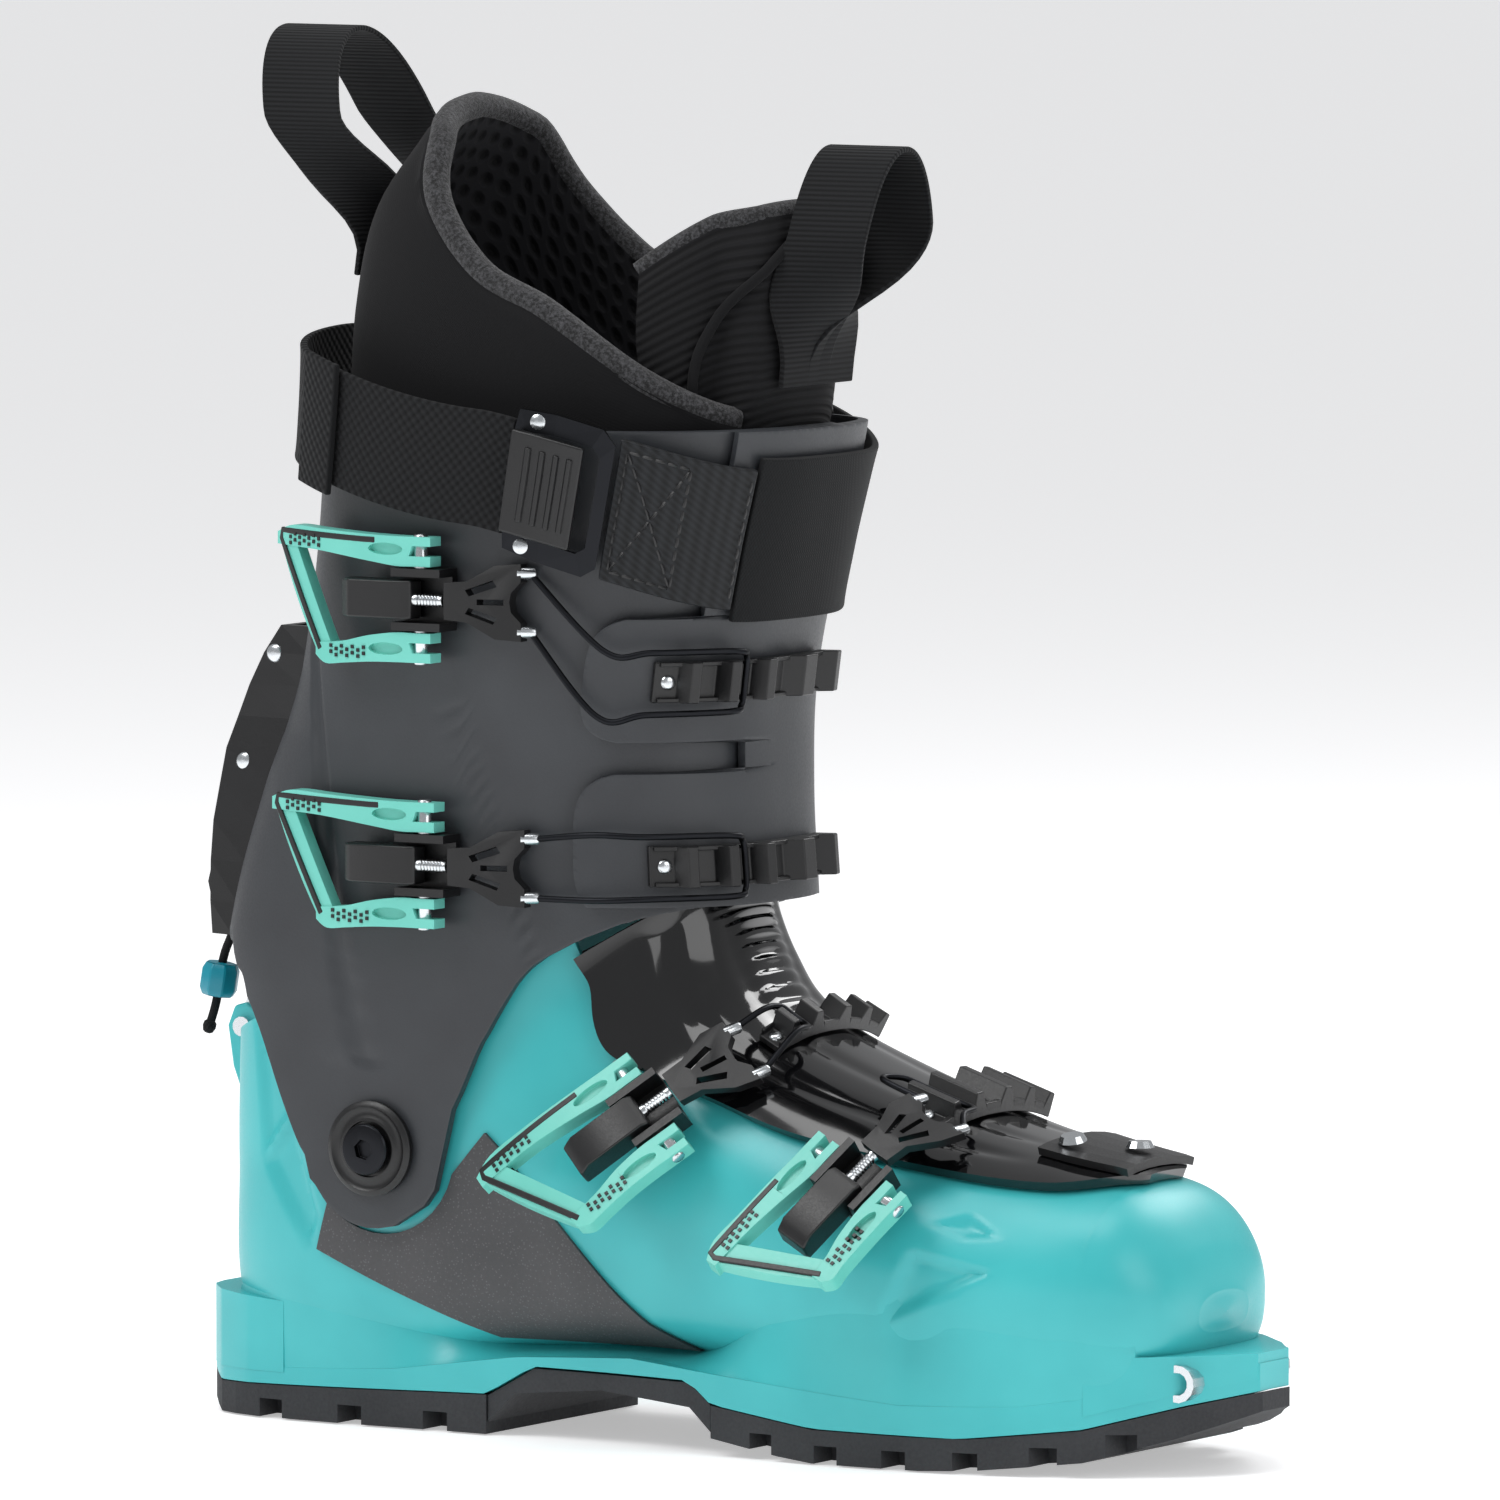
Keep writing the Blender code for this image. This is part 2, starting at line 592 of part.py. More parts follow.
def make_ankle(side, name, steel, dark):
    """The bolt that the cuff turns on, with its dark cover disc."""
    face = CUFF_OUTER + GAP
    turns = [2 * math.pi * k / 20 for k in range(20)]
    outer = [(DISC_RADIUS * math.cos(t), DISC_RADIUS * math.sin(t)) for t in turns]
    inner = [((BOLT_RADIUS + GAP) * math.cos(t), (BOLT_RADIUS + GAP) * math.sin(t)) for t in turns]
    frame_solid(f"ankle_disc_{name}", outer, inner, lambda a, b, depth: Vector((a, side * depth, PIVOT_Z + b)),
                face, face + 2.4, dark, origin=(0, 0, PIVOT_Z))
    inside = ANKLE_HALF - SHELL_WALL - 0.2
    head = face + 2.4 + GAP
    bolt = rod(f"ankle_bolt_{name}", (0, side * inside, PIVOT_Z), (0, side * (head + 0.5), PIVOT_Z), BOLT_RADIUS,
               12, steel)
    cap = rod("cap", (0, side * head, PIVOT_Z), (0, side * (head + 1.8), PIVOT_Z), 6.4, 12, steel, end_radius=5.6)
    boolean(bolt, [cap], "UNION")


# ---------------------------------------------------------------- walk mechanism
HOUSING_HALF = 17.0
HOUSING_ROOM = 12.6      # inside half width of the housing
LEVER_AXIS = (-66.5, 148.0)
HOUSING_BACK = [(119, -62.5), (130, -64), (146, -63.5), (165, -60.5), (185, -52), (196, -44)]


def make_walk_mechanism(plastic, alloy, cord_finish, bead_finish):
    """A channel on the cuff's back that the lean bar slides in, the lever, and the cord that pulls it."""
    rows = []
    levels = [118, 126, 136, 146, 156, 164, 172, 180, 188, 195]
    for z in levels:
        back = graph(HOUSING_BACK, z)
        front_mid = leg(z, math.pi, GAP).x
        front_side = [leg(z, a, GAP) for a in (math.pi - 0.30, math.pi - 0.22)]
        rows.append((z, back, front_mid, front_side))
    points = []
    for z, back, front_mid, front_side in rows:
        side = front_side[0]
        wall = front_side[1]
        reach = -side.y
        lip = -wall.y
        deep = back + 2.6
        points.append([Vector((side.x, -reach, rise(z))), Vector((back, -reach + 2, rise(z))),
                       Vector((back, reach - 2, rise(z))), Vector((side.x, reach, rise(z))),
                       Vector((wall.x, lip, rise(z))), Vector((deep, lip, rise(z))),
                       Vector((deep, -lip, rise(z))), Vector((wall.x, -lip, rise(z)))])
    solid_rows("spine_housing", points, plastic)
    tilt = math.radians(10)
    foot_of_bar = Vector((HEEL_PIN[0], 0, HEEL_PIN[1]))

    def bar_place(a, b, y):
        return foot_of_bar + Vector((a * math.cos(tilt) + b * math.sin(tilt), y,
                                     b * math.cos(tilt) - a * math.sin(tilt)))

    outline = arc((0, 0), 4.6, 180, 360, 6) + [(2.2, 8), (2.0, 32), (-2.0, 32), (-2.2, 8)]
    bar = prism("lean_bar", outline, bar_place, -BAR_HALF, BAR_HALF, alloy,
                origin=(HEEL_PIN[0], 0, HEEL_PIN[1]))
    hole = rod("hole", (HEEL_PIN[0], -20, HEEL_PIN[1]), (HEEL_PIN[0], 20, HEEL_PIN[1]), 2.5 + GAP, 12, alloy)
    boolean(bar, [hole], "DIFFERENCE")
    outline = arc(LEVER_AXIS, 2.3, 20, 150, 3) + [(-69.8, 138), (-72.0, 129.5), (-71.3, 126.6), (-66.4, 122.2),
                                                  (-65.4, 123.5), (-65.8, 130), (-64.9, 142)]
    origin = (LEVER_AXIS[0], 0, LEVER_AXIS[1])
    prism("walk_lever", outline, lambda x, z, y: Vector((x, y, z)), -8.5, 8.5, plastic, origin=origin)
    tube("release_cord", CORD_ROUTE, CORD_RADIUS, cord_finish, 3.0, origin=origin)
    make_bead(bead_finish, cord_finish, origin)


CORD_ROUTE = [(-69.6, -4.4, 122.9), (-67.5, -5.0, 120.9), (-66.2, -5.7, 118.5), (-66.9, -6.1, 115.6),
              (-68.3, -6.2, 112.4), (-69.3, -6.3, 108.9), (-70.0, -6.4, 105.0), (-70.5, -6.6, 101.0),
              (-71.2, -6.9, 97.6), (-72.0, -7.3, 94.6)]
BEAD_RADIUS = 5.0
BEAD_REACH = 4.25        # half its height


def make_bead(bead_finish, cord_finish, origin):
    """The bead that is threaded on the cord, and the cord's folded end under it."""
    middle = Vector(CORD_ROUTE[6])
    axis = (Vector(CORD_ROUTE[5]) - Vector(CORD_ROUTE[7])).normalized()
    across = axis.cross(Vector((0, 1, 0))).normalized()
    turns = [math.radians(22.5 + 45 * k) for k in range(8)]
    ring = [math.cos(t) * across + math.sin(t) * Vector((0, 1, 0)) for t in turns]
    rows = [[middle + axis * h * BEAD_REACH + BEAD_RADIUS * s * p for p in ring]
            for h, s in ((-1, 0.8), (-0.5, 1.0), (0.5, 1.0), (1, 0.8))]
    bead = solid_rows("cord_bead", rows, bead_finish, origin=origin)
    hole = rod("hole", middle - axis * 9, middle + axis * 9, CORD_RADIUS + 1.5 * GAP, 10, bead_finish, origin=origin)
    boolean(bead, [hole], "DIFFERENCE")
    end = Vector(CORD_ROUTE[-1])
    down = (end - Vector(CORD_ROUTE[-2])).normalized()
    rod("cord_end", end + down * GAP, end + down * 3.2, 1.7, 10, cord_finish, origin=origin, end_radius=1.2)


# ---------------------------------------------------------------- buckles
class Place:
    """A local frame on the boot: u along the pull, v across it, n out of the surface."""

    def __init__(self, centre, along_u, out_n, droop):
        self.centre = Vector(centre)
        self.u = Vector(along_u).normalized()
        self.v = Vector(out_n).normalized().cross(self.u).normalized()
        self.n = self.u.cross(self.v).normalized()
        self.droop = droop

    def at(self, u, v, n):
        """A point that follows the boot's curve: the surface falls away to both sides of the hinge."""
        rear, ahead = self.droop
        if u < -8:
            n -= (u + 8) ** 2 * rear
        if u > 6:
            n -= (u - 6) ** 2 * ahead
        return self.centre + u * self.u + v * self.v + n * self.n


HINGE_OUT = 6.0          # hinge axis above the surface
ARM_IN, ARM_OUT = 8.1, 15.4
SHORT_ARM = 0.68         # one arm's length as a share of the other's, so that the handle runs at a slant
PIN_BACK = 18.0          # barrel pin behind the hinge


def make_buckle(name, place, handle, plastic, dark, steel, cable, rack_loop):
    """Bracket, lever, barrel with its rod, yoke and cable."""
    hinge = place.centre + HINGE_OUT * place.n
    pin = place.centre - PIN_BACK * place.u + HINGE_OUT * place.n

    channel = [(-7.6, 0.8), (7.6, 0.8), (7.6, 8.8), (5.6, 8.8), (5.6, 2.8), (-5.6, 2.8), (-5.6, 8.8), (-7.6, 8.8)]
    prism(f"{name}_bracket", channel, lambda v, n, u: place.at(u, v, n), -7, 7, dark)

    far, wide = handle
    low, high = 3.2, 8.2

    def tip(sign):
        return far if sign > 0 else far * SHORT_ARM

    def arm(sign):
        """One arm and its side of the handle."""
        end = tip(sign)
        cuts = [(4, ARM_IN, ARM_OUT), (-6, ARM_IN, ARM_OUT), (-14, ARM_IN + 1, ARM_OUT + 0.2),
                (between(-14, end, 0.45), wide - 5.8, wide - 0.4), (between(-14, end, 0.8), wide - 5.2, wide),
                (end, wide - 5, wide - 2)]
        rows = [[place.at(u, sign * a, low), place.at(u, sign * b, low), place.at(u, sign * b, high),
                 place.at(u, sign * a, high)] for u, a, b in cuts]
        return solid_rows("arm", rows, plastic)

    rows = []
    for k in range(5):
        sign = between(1, -1, k / 4)
        start = between(tip(1), tip(-1), k / 4)
        corners = ((start + 0.4, low + 0.4), (start + 6.4, low + 0.4), (start + 6.4, high - 0.4),
                   (start + 0.4, high - 0.4))
        rows.append([place.at(u, sign * (wide - 2.6), n) for u, n in corners])
    lever = arm(1)
    boolean(lever, [arm(-1), solid_rows("bar", rows, plastic)], "UNION")
    lever.name = f"{name}_lever"
    lever.data.name = lever.name
    shift(lever, hinge)

    outline = [(-22, 3.2), (-3, 3.2), (-1, 4.2), (-1, 9.2), (-3, 10.4), (-19, 10.4), (-22, 8.5)]
    body = prism(f"{name}_barrel", outline, lambda u, n, v: place.at(u, v, n), -4.7, 4.7, dark)
    stem = rod("stem", place.at(-5, 0, 7.2), place.at(7.4, 0, 7.2), 1.6, 8, steel)
    boolean(body, [stem], "UNION")
    shift(body, pin)

    near, end = 8.0, 27.0
    outer = [(near, -4.5), (near + 6, -5), (end - 6, -9), (end, -9.5), (end, -5), (end - 3, 0), (end, 5), (end, 9.5),
             (end - 6, 9), (near + 6, 5), (near, 4.5), (near - 0.2, 0)]
    inner = [(u * 0.45 + (near + end) * 0.275, v * 0.42) for u, v in outer]
    frame_solid(f"{name}_yoke", outer, inner, place.at, 5.4, 8.4, dark, origin=pin)

    ends = [place.at(end + 1.4, 7.2, 6.9), place.at(end + 1.4, -7.2, 6.9)]
    tube(f"{name}_cable", [ends[0]] + rack_loop + [ends[1]], CABLE_RADIUS, cable, 6.0, origin=pin)


def shift(piece, origin):
    """Moves an object's origin and leaves its mesh where it is."""
    move = Vector(origin) * MM - piece.location
    for vertex in piece.data.vertices:
        vertex.co -= move
    piece.location = Vector(origin) * MM


def rack(name, point, spread, teeth, low, high, dark):
    """A curved rail with teeth. point(share, side, height) is a place on the boot under it."""
    first, last = spread
    count = 4 * teeth
    bottom = [(between(first, last, k / count), low) for k in range(count + 1)]
    top = []
    for k in range(teeth):
        a = between(first, last, (k + 0.12) / teeth)
        b = between(first, last, (k + 0.55) / teeth)
        c = between(first, last, (k + 0.75) / teeth)
        d = between(first, last, (k + 0.98) / teeth)
        top += [(a, low + 1.8), (b, low + 1.8), (c, high), (d, high)]
    outline = bottom + [(last, low + 1.8)] + top[::-1][1:] + [(first, low + 1.8)]
    prism(name, outline, point, -5.0, 5.0, dark)


RACK_SPAN = (44, -14)      # degrees round the front of the leg
LOOP_END = 17.7            # where the cable lies between two teeth


def cuff_buckle(name, level, finishes, rack_level, droop):
    """A buckle whose lever is on the cuff's outer side and whose rack goes round its front."""
    mint, dark, steel, cable = finishes
    half = -leg(level, math.radians(91)).y
    place = Place((19, -half - 0.2, rise(level)), (1, 0, 0), (0, -1, 0), (droop, 0.011))
    half_loop = [(58, 8.0, 5.5), (46, 7.6, 6.0), (LOOP_END + 5, 7.4, 5.4), (LOOP_END + 0.8, 6.2, 4.5),
                 (LOOP_END, 3.2, 4.2)]
    loop = [leg(rack_level + v, math.radians(a), FLAP_RISE + n) for a, v, n in
            half_loop + [(LOOP_END, 0, 4.2)] + [(a, -v, n) for a, v, n in half_loop[::-1]]]
    make_buckle(name, place, (-46, 16.6), mint, dark, steel, cable, loop)
    rack(f"{name}_rack", lambda a, n, v: leg(rack_level + v, math.radians(a), FLAP_RISE + n), RACK_SPAN, 5,
         GAP + 0.2, 6.6, dark)


def shell_buckle(name, hinge, pull, out, droop, handle, rack_section, loop, finishes):
    """A buckle whose lever is on the shell's outer side and whose rack is on the tongue."""
    mint, dark, steel, cable = finishes
    place = Place(hinge, pull, out, droop)
    make_buckle(name, place, handle, mint, dark, steel, cable, loop)
    level = TONGUE_ROOM + TONGUE_WALL + GAP
    rack(f"{name}_rack", lambda a, n, v: foot(rack_section + v / 26, math.radians(a), level + n), (26, -26), 5,
         0.2, 6.4, dark)


def make_buckles(finishes):
    cuff_buckle("upper_buckle", 206, finishes, 187, 0.0066)
    cuff_buckle("lower_buckle", 141, finishes, 142, 0.0036)
    level = TONGUE_ROOM + TONGUE_WALL + GAP

    def loop(section, end):
        half = [(end + 9, 0.33, 6.2), (end + 2, 0.29, 5.0), (end, 0.14, 4.2)]
        return [foot(section + d, math.radians(a), level + n) for a, d, n in
                half + [(end, 0, 4.2)] + [(a, -d, n) for a, d, n in half[::-1]]]

    shell_buckle("instep_buckle", (along(80), -44.5, 81), (20, 12, 17), (0.15, -0.88, 0.46), (0.004, 0.012),
                 (-44, 16.6), 5.9, loop(5.9, 12.8), finishes)
    shell_buckle("toe_buckle", (along(139), -46.5, 67), (9, 12, 14), (0.12, -0.88, 0.50), (0.002, 0.02),
                 (-38, 16.2), 4.25, loop(4.25, 12.8), finishes)


# ---------------------------------------------------------------- soft parts
def make_inner_boot(fabric, lining, felt):
    """The padded inner boot: a foot part, a leg part and a tongue. The footbed lies in it."""
    room = SHELL_WALL + 2.3
    sections = [s for s in map(hollow_section, shell_sections()) if 1.2 < s < 11.6]

    def foot_grid(offset):
        rows = []
        for s in sections:
            gap = max(0.0, edge_angle(s) - math.radians(2)) if s > 4.4 else 0.0
            rows.append([foot(s, a, offset) for a in ring_angles(gap, 16)])
        return rows

    layer("liner_foot", fabric, foot_grid(-room), foot_grid(-room - LINER_WALL), cap_start=True)

    def top_of(angle):
        turned = math.degrees(abs(math.remainder(angle, 2 * math.pi)))
        return graph([(0, 250), (30, 252), (60, 262), (90, 281), (115, 302), (140, 318), (180, 325)], turned)

    def bottom_of(angle):
        x = leg(160, angle, -room).x
        arch = PIVOT_Z + math.sqrt(max((SWEEP_RADIUS + 1.5) ** 2 - x * x, 0))
        ramp = PIVOT_Z + x * math.tan(math.radians(54))
        return max(arch, ramp, 122)

    def leg_grid(offset):
        rows = []
        for j in range(25):
            angle = between(math.radians(24), math.radians(336), j / 24)
            low, high = bottom_of(angle), top_of(angle)
            rows.append([leg(between(low, high, k / 7), angle, offset) for k in range(8)])
        return rows

    skin = CUFF_WALL + 2.0
    layer("liner_leg", fabric, leg_grid(-skin), leg_grid(-skin - LINER_WALL), origin=(0, 0, PIVOT_Z))

    def tongue_grid(offset):
        rows = []
        for k in range(9):
            z = between(178, 301, k / 8)
            spread = math.radians(between(20, 30, k / 8) if z > 255 else 18)
            rows.append([leg(z, between(spread, -spread, j / 6), offset) for j in range(7)])
        return rows

    layer("liner_tongue", lining, tongue_grid(-skin), tongue_grid(-skin - LINER_WALL), origin=(0, 0, PIVOT_Z))

    def bed_grid(offset):
        under = room + LINER_WALL + 5 * GAP
        return [[foot(k / 2, math.radians(a), -under - offset) for a in range(140, 221, 16)] for k in range(5, 19)]

    layer("footbed", felt, bed_grid(3.0), bed_grid(0.0))


def band(name, angles, height, low, high, columns, finish):
    """A strap round the leg, on the power strap's sloping middle line."""
    def grid(offset):
        rows = []
        for j in range(columns + 1):
            turned = between(angles[0], angles[1], j / columns)
            rows.append([leg(strap_level(turned) + height * (k / 2 - 0.5), math.radians(turned), offset)
                         for k in range(3)])
        return rows

    return layer(name, finish, grid(high), grid(low), origin=(0, 0, PIVOT_Z))


def strap_level(angle):
    """The power strap slopes down from the back of the leg to its front."""
    turned = abs(math.degrees(math.remainder(math.radians(angle), 2 * math.pi)))
    return graph([(0, 221), (30, 222), (60, 229), (90, 239), (130, 249), (180, 255)], turned)


STRAP_LIFT = FLAP_RISE + 1.0


def make_strap(webbing, elastic, dark, alloy):
    low, high = STRAP_LIFT, STRAP_LIFT + STRAP_THICK
    band("strap_webbing", (84, 250), STRAP_HEIGHT * 0.7, low, high, 22, webbing)
    band("strap_keeper", (118, 132), STRAP_HEIGHT * 0.8, high + 0.4, high + STRAP_THICK, 3, webbing)
    band("strap_band", (24, -109), STRAP_HEIGHT, low, high, 20, elastic)
    band("strap_tab", (62, 25), STRAP_HEIGHT * 0.86, low, high, 7, webbing)

    def ring(a, v, n):
        return leg(strap_level(a) + v, math.radians(a), STRAP_LIFT + n)

    outer = [(83, -17), (76, -18), (66, -18), (63, -15), (63, 0), (63, 15), (66, 18), (76, 18), (83, 17), (84, 8),
             (84, 0), (84, -8)]
    inner = [(81, -12), (76, -13), (68, -13), (66, -11), (66, 0), (66, 11), (68, 13), (76, 13), (81, 12), (81, 6),
             (81, 0), (81, -6)]
    frame_solid("cam_frame", outer, inner, ring, 0.4, 3.6, alloy, origin=(0, 0, PIVOT_Z))
    rows = [[ring(a, v, n) for v in (-12.5, 12.5)] + [ring(a, v, m) for v in (12.5, -12.5)]
            for a, n, m in ((83, 4.6, 8.2), (79, 4.2, 7.8), (74, 4.0, 7.0), (69.5, 4.0, 6.0))]
    lever = solid_rows("cam_lever", rows, dark)
    shift(lever, ring(82.0, 0, 7.0))


def make_pull_loops(webbing):
    """Two webbing loops, one on the inner boot's back and one on its tongue."""
    for name, base, peak, lean, half in (("pull_loop_rear", (-29.0, 3, 296), 46, -0.34, 26),
                                         ("pull_loop_front", (108.0, 2, 272), 44, 0.10, 19)):
        thick = 1.6
        centre = Vector(base)
        spine = []
        for k in range(15):
            t = k / 14
            swing = math.sin(math.pi * t)
            y = -half * math.cos(math.pi * t)
            height = peak * swing ** 0.75
            spine.append((y, height))
        rows = []
        for k, (y, height) in enumerate(spine):
            ahead = Vector((0, spine[min(k + 1, 14)][0] - spine[max(k - 1, 0)][0],
                            spine[min(k + 1, 14)][1] - spine[max(k - 1, 0)][1])).normalized()
            out = Vector((0, -ahead.z, ahead.y))
            middle = centre + Vector((lean * height, y, height))
            wide = Vector((11, 0, 0))
            rows.append([middle - wide, middle + wide, middle + wide + out * thick, middle - wide + out * thick])
        solid_rows(name, rows, webbing, origin=(0, 0, PIVOT_Z))


# ---------------------------------------------------------------- the boot
def main():
    for old in list(bpy.data.objects):
        bpy.data.objects.remove(old)
    teal = finish_named("shell_plastic", "4FC0C4", 0.35)
    grey = finish_named("cuff_plastic", "4A4D52", 0.45)
    gloss = finish_named("tongue_plastic", "0B0B0D", 0.08)
    matt = finish_named("black_nylon", "17181A", 0.45)
    mint = finish_named("lever_plastic", "7FD6C8", 0.4)
    carbon = finish_named("carbon_frame", "484A4C", 0.6)
    rubber = finish_named("rubber", "3B3B3D", 0.85)
    steel = finish_named("steel", "C9CCD0", 0.25, 1.0)
    webbing = finish_named("webbing", "1A1B1D", 0.9)
    elastic = finish_named("elastic", "242629", 0.85)
    fabric = finish_named("inner_boot_fabric", "1B1C1E", 0.95)
    lining = finish_named("lining", "26272A", 0.95)
    bead = finish_named("bead_plastic", "0A8FA3", 0.35)

    make_treads(rubber)
    make_shell(teal)
    make_inserts(steel)
    make_frame_panels(carbon)
    make_tongue(gloss, matt, steel)
    make_cuff(grey)
    make_ankle(-1, "outer", steel, matt)
    make_ankle(1, "inner", steel, matt)
    make_walk_mechanism(matt, steel, webbing, bead)
    make_buckles((mint, matt, steel, steel))
    make_inner_boot(fabric, lining, fabric)
    make_strap(webbing, elastic, matt, matt)
    make_pull_loops(webbing)


main()
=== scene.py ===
# %% [markdown]
# # An alpine touring boot
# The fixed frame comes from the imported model. Every visible piece below is either one of its nodes with a real
# finish, or a finer piece that stands in the same space and rides on the same body.

# %% Load the frame
import bpy
import bmesh
import math
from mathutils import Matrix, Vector
from mathutils.bvhtree import BVHTree


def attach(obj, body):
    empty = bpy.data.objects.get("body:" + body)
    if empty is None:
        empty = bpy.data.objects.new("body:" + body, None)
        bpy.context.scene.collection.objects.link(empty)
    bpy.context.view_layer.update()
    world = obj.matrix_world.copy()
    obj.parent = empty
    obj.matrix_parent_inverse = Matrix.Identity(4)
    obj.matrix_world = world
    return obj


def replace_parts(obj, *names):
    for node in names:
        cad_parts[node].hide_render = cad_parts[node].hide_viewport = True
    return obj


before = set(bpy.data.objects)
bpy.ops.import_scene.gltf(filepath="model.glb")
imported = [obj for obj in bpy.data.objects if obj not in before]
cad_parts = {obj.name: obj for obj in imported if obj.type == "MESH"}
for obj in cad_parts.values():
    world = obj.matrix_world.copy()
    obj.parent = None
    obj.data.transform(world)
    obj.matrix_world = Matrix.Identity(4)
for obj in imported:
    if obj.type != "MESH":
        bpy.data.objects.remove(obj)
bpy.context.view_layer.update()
MM = 0.001

# %% [markdown]
# ## The camera
# A long lens from 4.5 m away keeps the boot's proportions, as a catalogue shot does. A short lens would make the
# toe look too big. The camera looks at the middle of the boot from 31 degrees round and almost level.

# %% Camera
VIEW_TURN, VIEW_RISE = math.radians(31), math.radians(4.7)
target = Vector((0.080, 0, 0.168))
away = Vector((math.sin(VIEW_TURN) * math.cos(VIEW_RISE), -math.cos(VIEW_TURN) * math.cos(VIEW_RISE),
               math.sin(VIEW_RISE)))
lens = bpy.data.cameras.new("catalogue_lens")
lens.sensor_width = 36
lens.lens = 441.7
lens.clip_end = 20
camera = bpy.data.objects.new("camera", lens)
camera.location = target + 4.5 * away
camera.rotation_euler = (-away).to_track_quat("-Z", "Y").to_euler()
bpy.context.scene.collection.objects.link(camera)
bpy.context.scene.camera = camera
bpy.context.scene.view_settings.view_transform = "Standard"
print("camera at", tuple(round(c, 2) for c in camera.location))

# %% [markdown]
# ## Adding shader nodes
# Every finish below is a small tree of nodes. One helper adds a node, sets what it needs and links its inputs, so
# that each tree reads from top to bottom. Colours are written as on screen, and one function turns them to the
# linear values that a renderer works with.


# %% Colour and node helpers
def colour(code):
    parts = [int(code[k:k + 2], 16) / 255 for k in (0, 2, 4)]
    return [p / 12.92 if p <= 0.04045 else ((p + 0.055) / 1.055) ** 2.4 for p in parts] + [1.0]


def add(tree, kind, inputs=None, **settings):
    node = tree.nodes.new("ShaderNode" + kind)
    for name, value in settings.items():
        setattr(node, name, value)
    for name, value in (inputs or {}).items():
        if isinstance(value, bpy.types.NodeSocket):
            tree.links.new(value, node.inputs[name])
        else:
            node.inputs[name].default_value = value
    return node


def start_finish(name, roughness, **sockets):
    material = bpy.data.materials.new(name)
    material.use_nodes = True
    tree = material.node_tree
    shader = tree.nodes["Principled BSDF"]
    shader.inputs["Roughness"].default_value = roughness
    for label, value in sockets.items():
        shader.inputs[label.replace("_", " ")].default_value = value
    return material, tree, shader


def join_height(tree, shader, height, depth, strength=1.0):
    bump = add(tree, "Bump", {"Height": height, "Distance": depth * MM, "Strength": strength})
    tree.links.new(bump.outputs["Normal"], shader.inputs["Normal"])
    return bump


# %% [markdown]
# ## Moulded plastics
# Injection-moulded polyamide takes the texture of its steel mould: a fine even grain, and over a larger span a
# slight change of tone where the melt cooled. One recipe covers them all: two close colours mixed by a broad
# noise, a fine grain as relief and as roughness. Grain of 0.15 mm is too fine to see at this size, so it is drawn
# at 0.5 mm.


# %% Moulded plastic recipe
def moulded(name, low, high, roughness, grain=0.5, depth=0.02, spread=0.12, patch=28, **sockets):
    material, tree, shader = start_finish(name, roughness, **sockets)
    place = add(tree, "TexCoord").outputs["Object"]
    broad = add(tree, "TexNoise", {"Vector": place, "Scale": 1 / (patch * MM), "Detail": 3})
    fine = add(tree, "TexNoise", {"Vector": place, "Scale": 1 / (grain * MM), "Detail": 4})
    tone = add(tree, "ValToRGB", {"Fac": broad.outputs["Fac"]})
    tone.color_ramp.elements[0].position, tone.color_ramp.elements[1].position = 0.3, 0.7
    tone.color_ramp.elements[0].color, tone.color_ramp.elements[1].color = colour(low), colour(high)
    tree.links.new(tone.outputs["Color"], shader.inputs["Base Color"])
    rough = add(tree, "MapRange", {"Value": fine.outputs["Fac"], "From Min": 0.3, "From Max": 0.7,
                                   "To Min": roughness - spread / 2, "To Max": roughness + spread / 2})
    tree.links.new(rough.outputs["Result"], shader.inputs["Roughness"])
    join_height(tree, shader, fine.outputs["Fac"], depth)
    return material


# turquoise polyamide: dyed through, with a satin mould face that gives wide soft highlights
turquoise_polyamide = moulded("turquoise_polyamide", "38B0B4", "41BABD", 0.36, depth=0.012, IOR=1.53)
# glass-filled grey polyamide of the cuff: darker, a coarser grain, nearly matt
grey_polyamide = moulded("grey_polyamide", "2C2E32", "34373B", 0.46, grain=0.6, depth=0.03, IOR=1.53)
# black acetal and nylon hardware: tougher moulds, satin
black_nylon = moulded("satin_nylon", "09090A", "101012", 0.40, grain=0.5, depth=0.02, IOR=1.53)
# polished black elastomer of the tongue: a mirror mould, only faint waviness
gloss_elastomer = moulded("gloss_elastomer", "050506", "0A0A0C", 0.10, grain=9, depth=0.03, spread=0.06, IOR=1.5,
                          Coat_Weight=0.6, Coat_Roughness=0.05)
# mint powder-coated levers: an even skin with a trace of orange peel
mint_powder_coat = moulded("mint_powder_coat", "66C3B5", "74CEC0", 0.36, grain=0.9, depth=0.02, IOR=1.5)
# blue-green acetal bead: tumbled after moulding, so it is satin all over
petrol_acetal = moulded("petrol_acetal", "0B8296", "0E94A8", 0.35, IOR=1.48)
# carbon-filled frame: chopped fibres show as pale specks in a dark matrix
carbon_frame = moulded("carbon_filled_frame", "3A3A3C", "444345", 0.6, grain=0.7, depth=0.04, IOR=1.55)
print("moulded finishes ready")

# %% [markdown]
# ## Chopped fibres and rubber
# The frame under the ankle is filled with chopped carbon. Cut ends catch the light as specks under a millimetre
# across. A cell pattern picks single specks, which a noise can't do. The treads are dull rubber whose mould was
# spark-eroded, so its grain is coarser than that of the plastics.

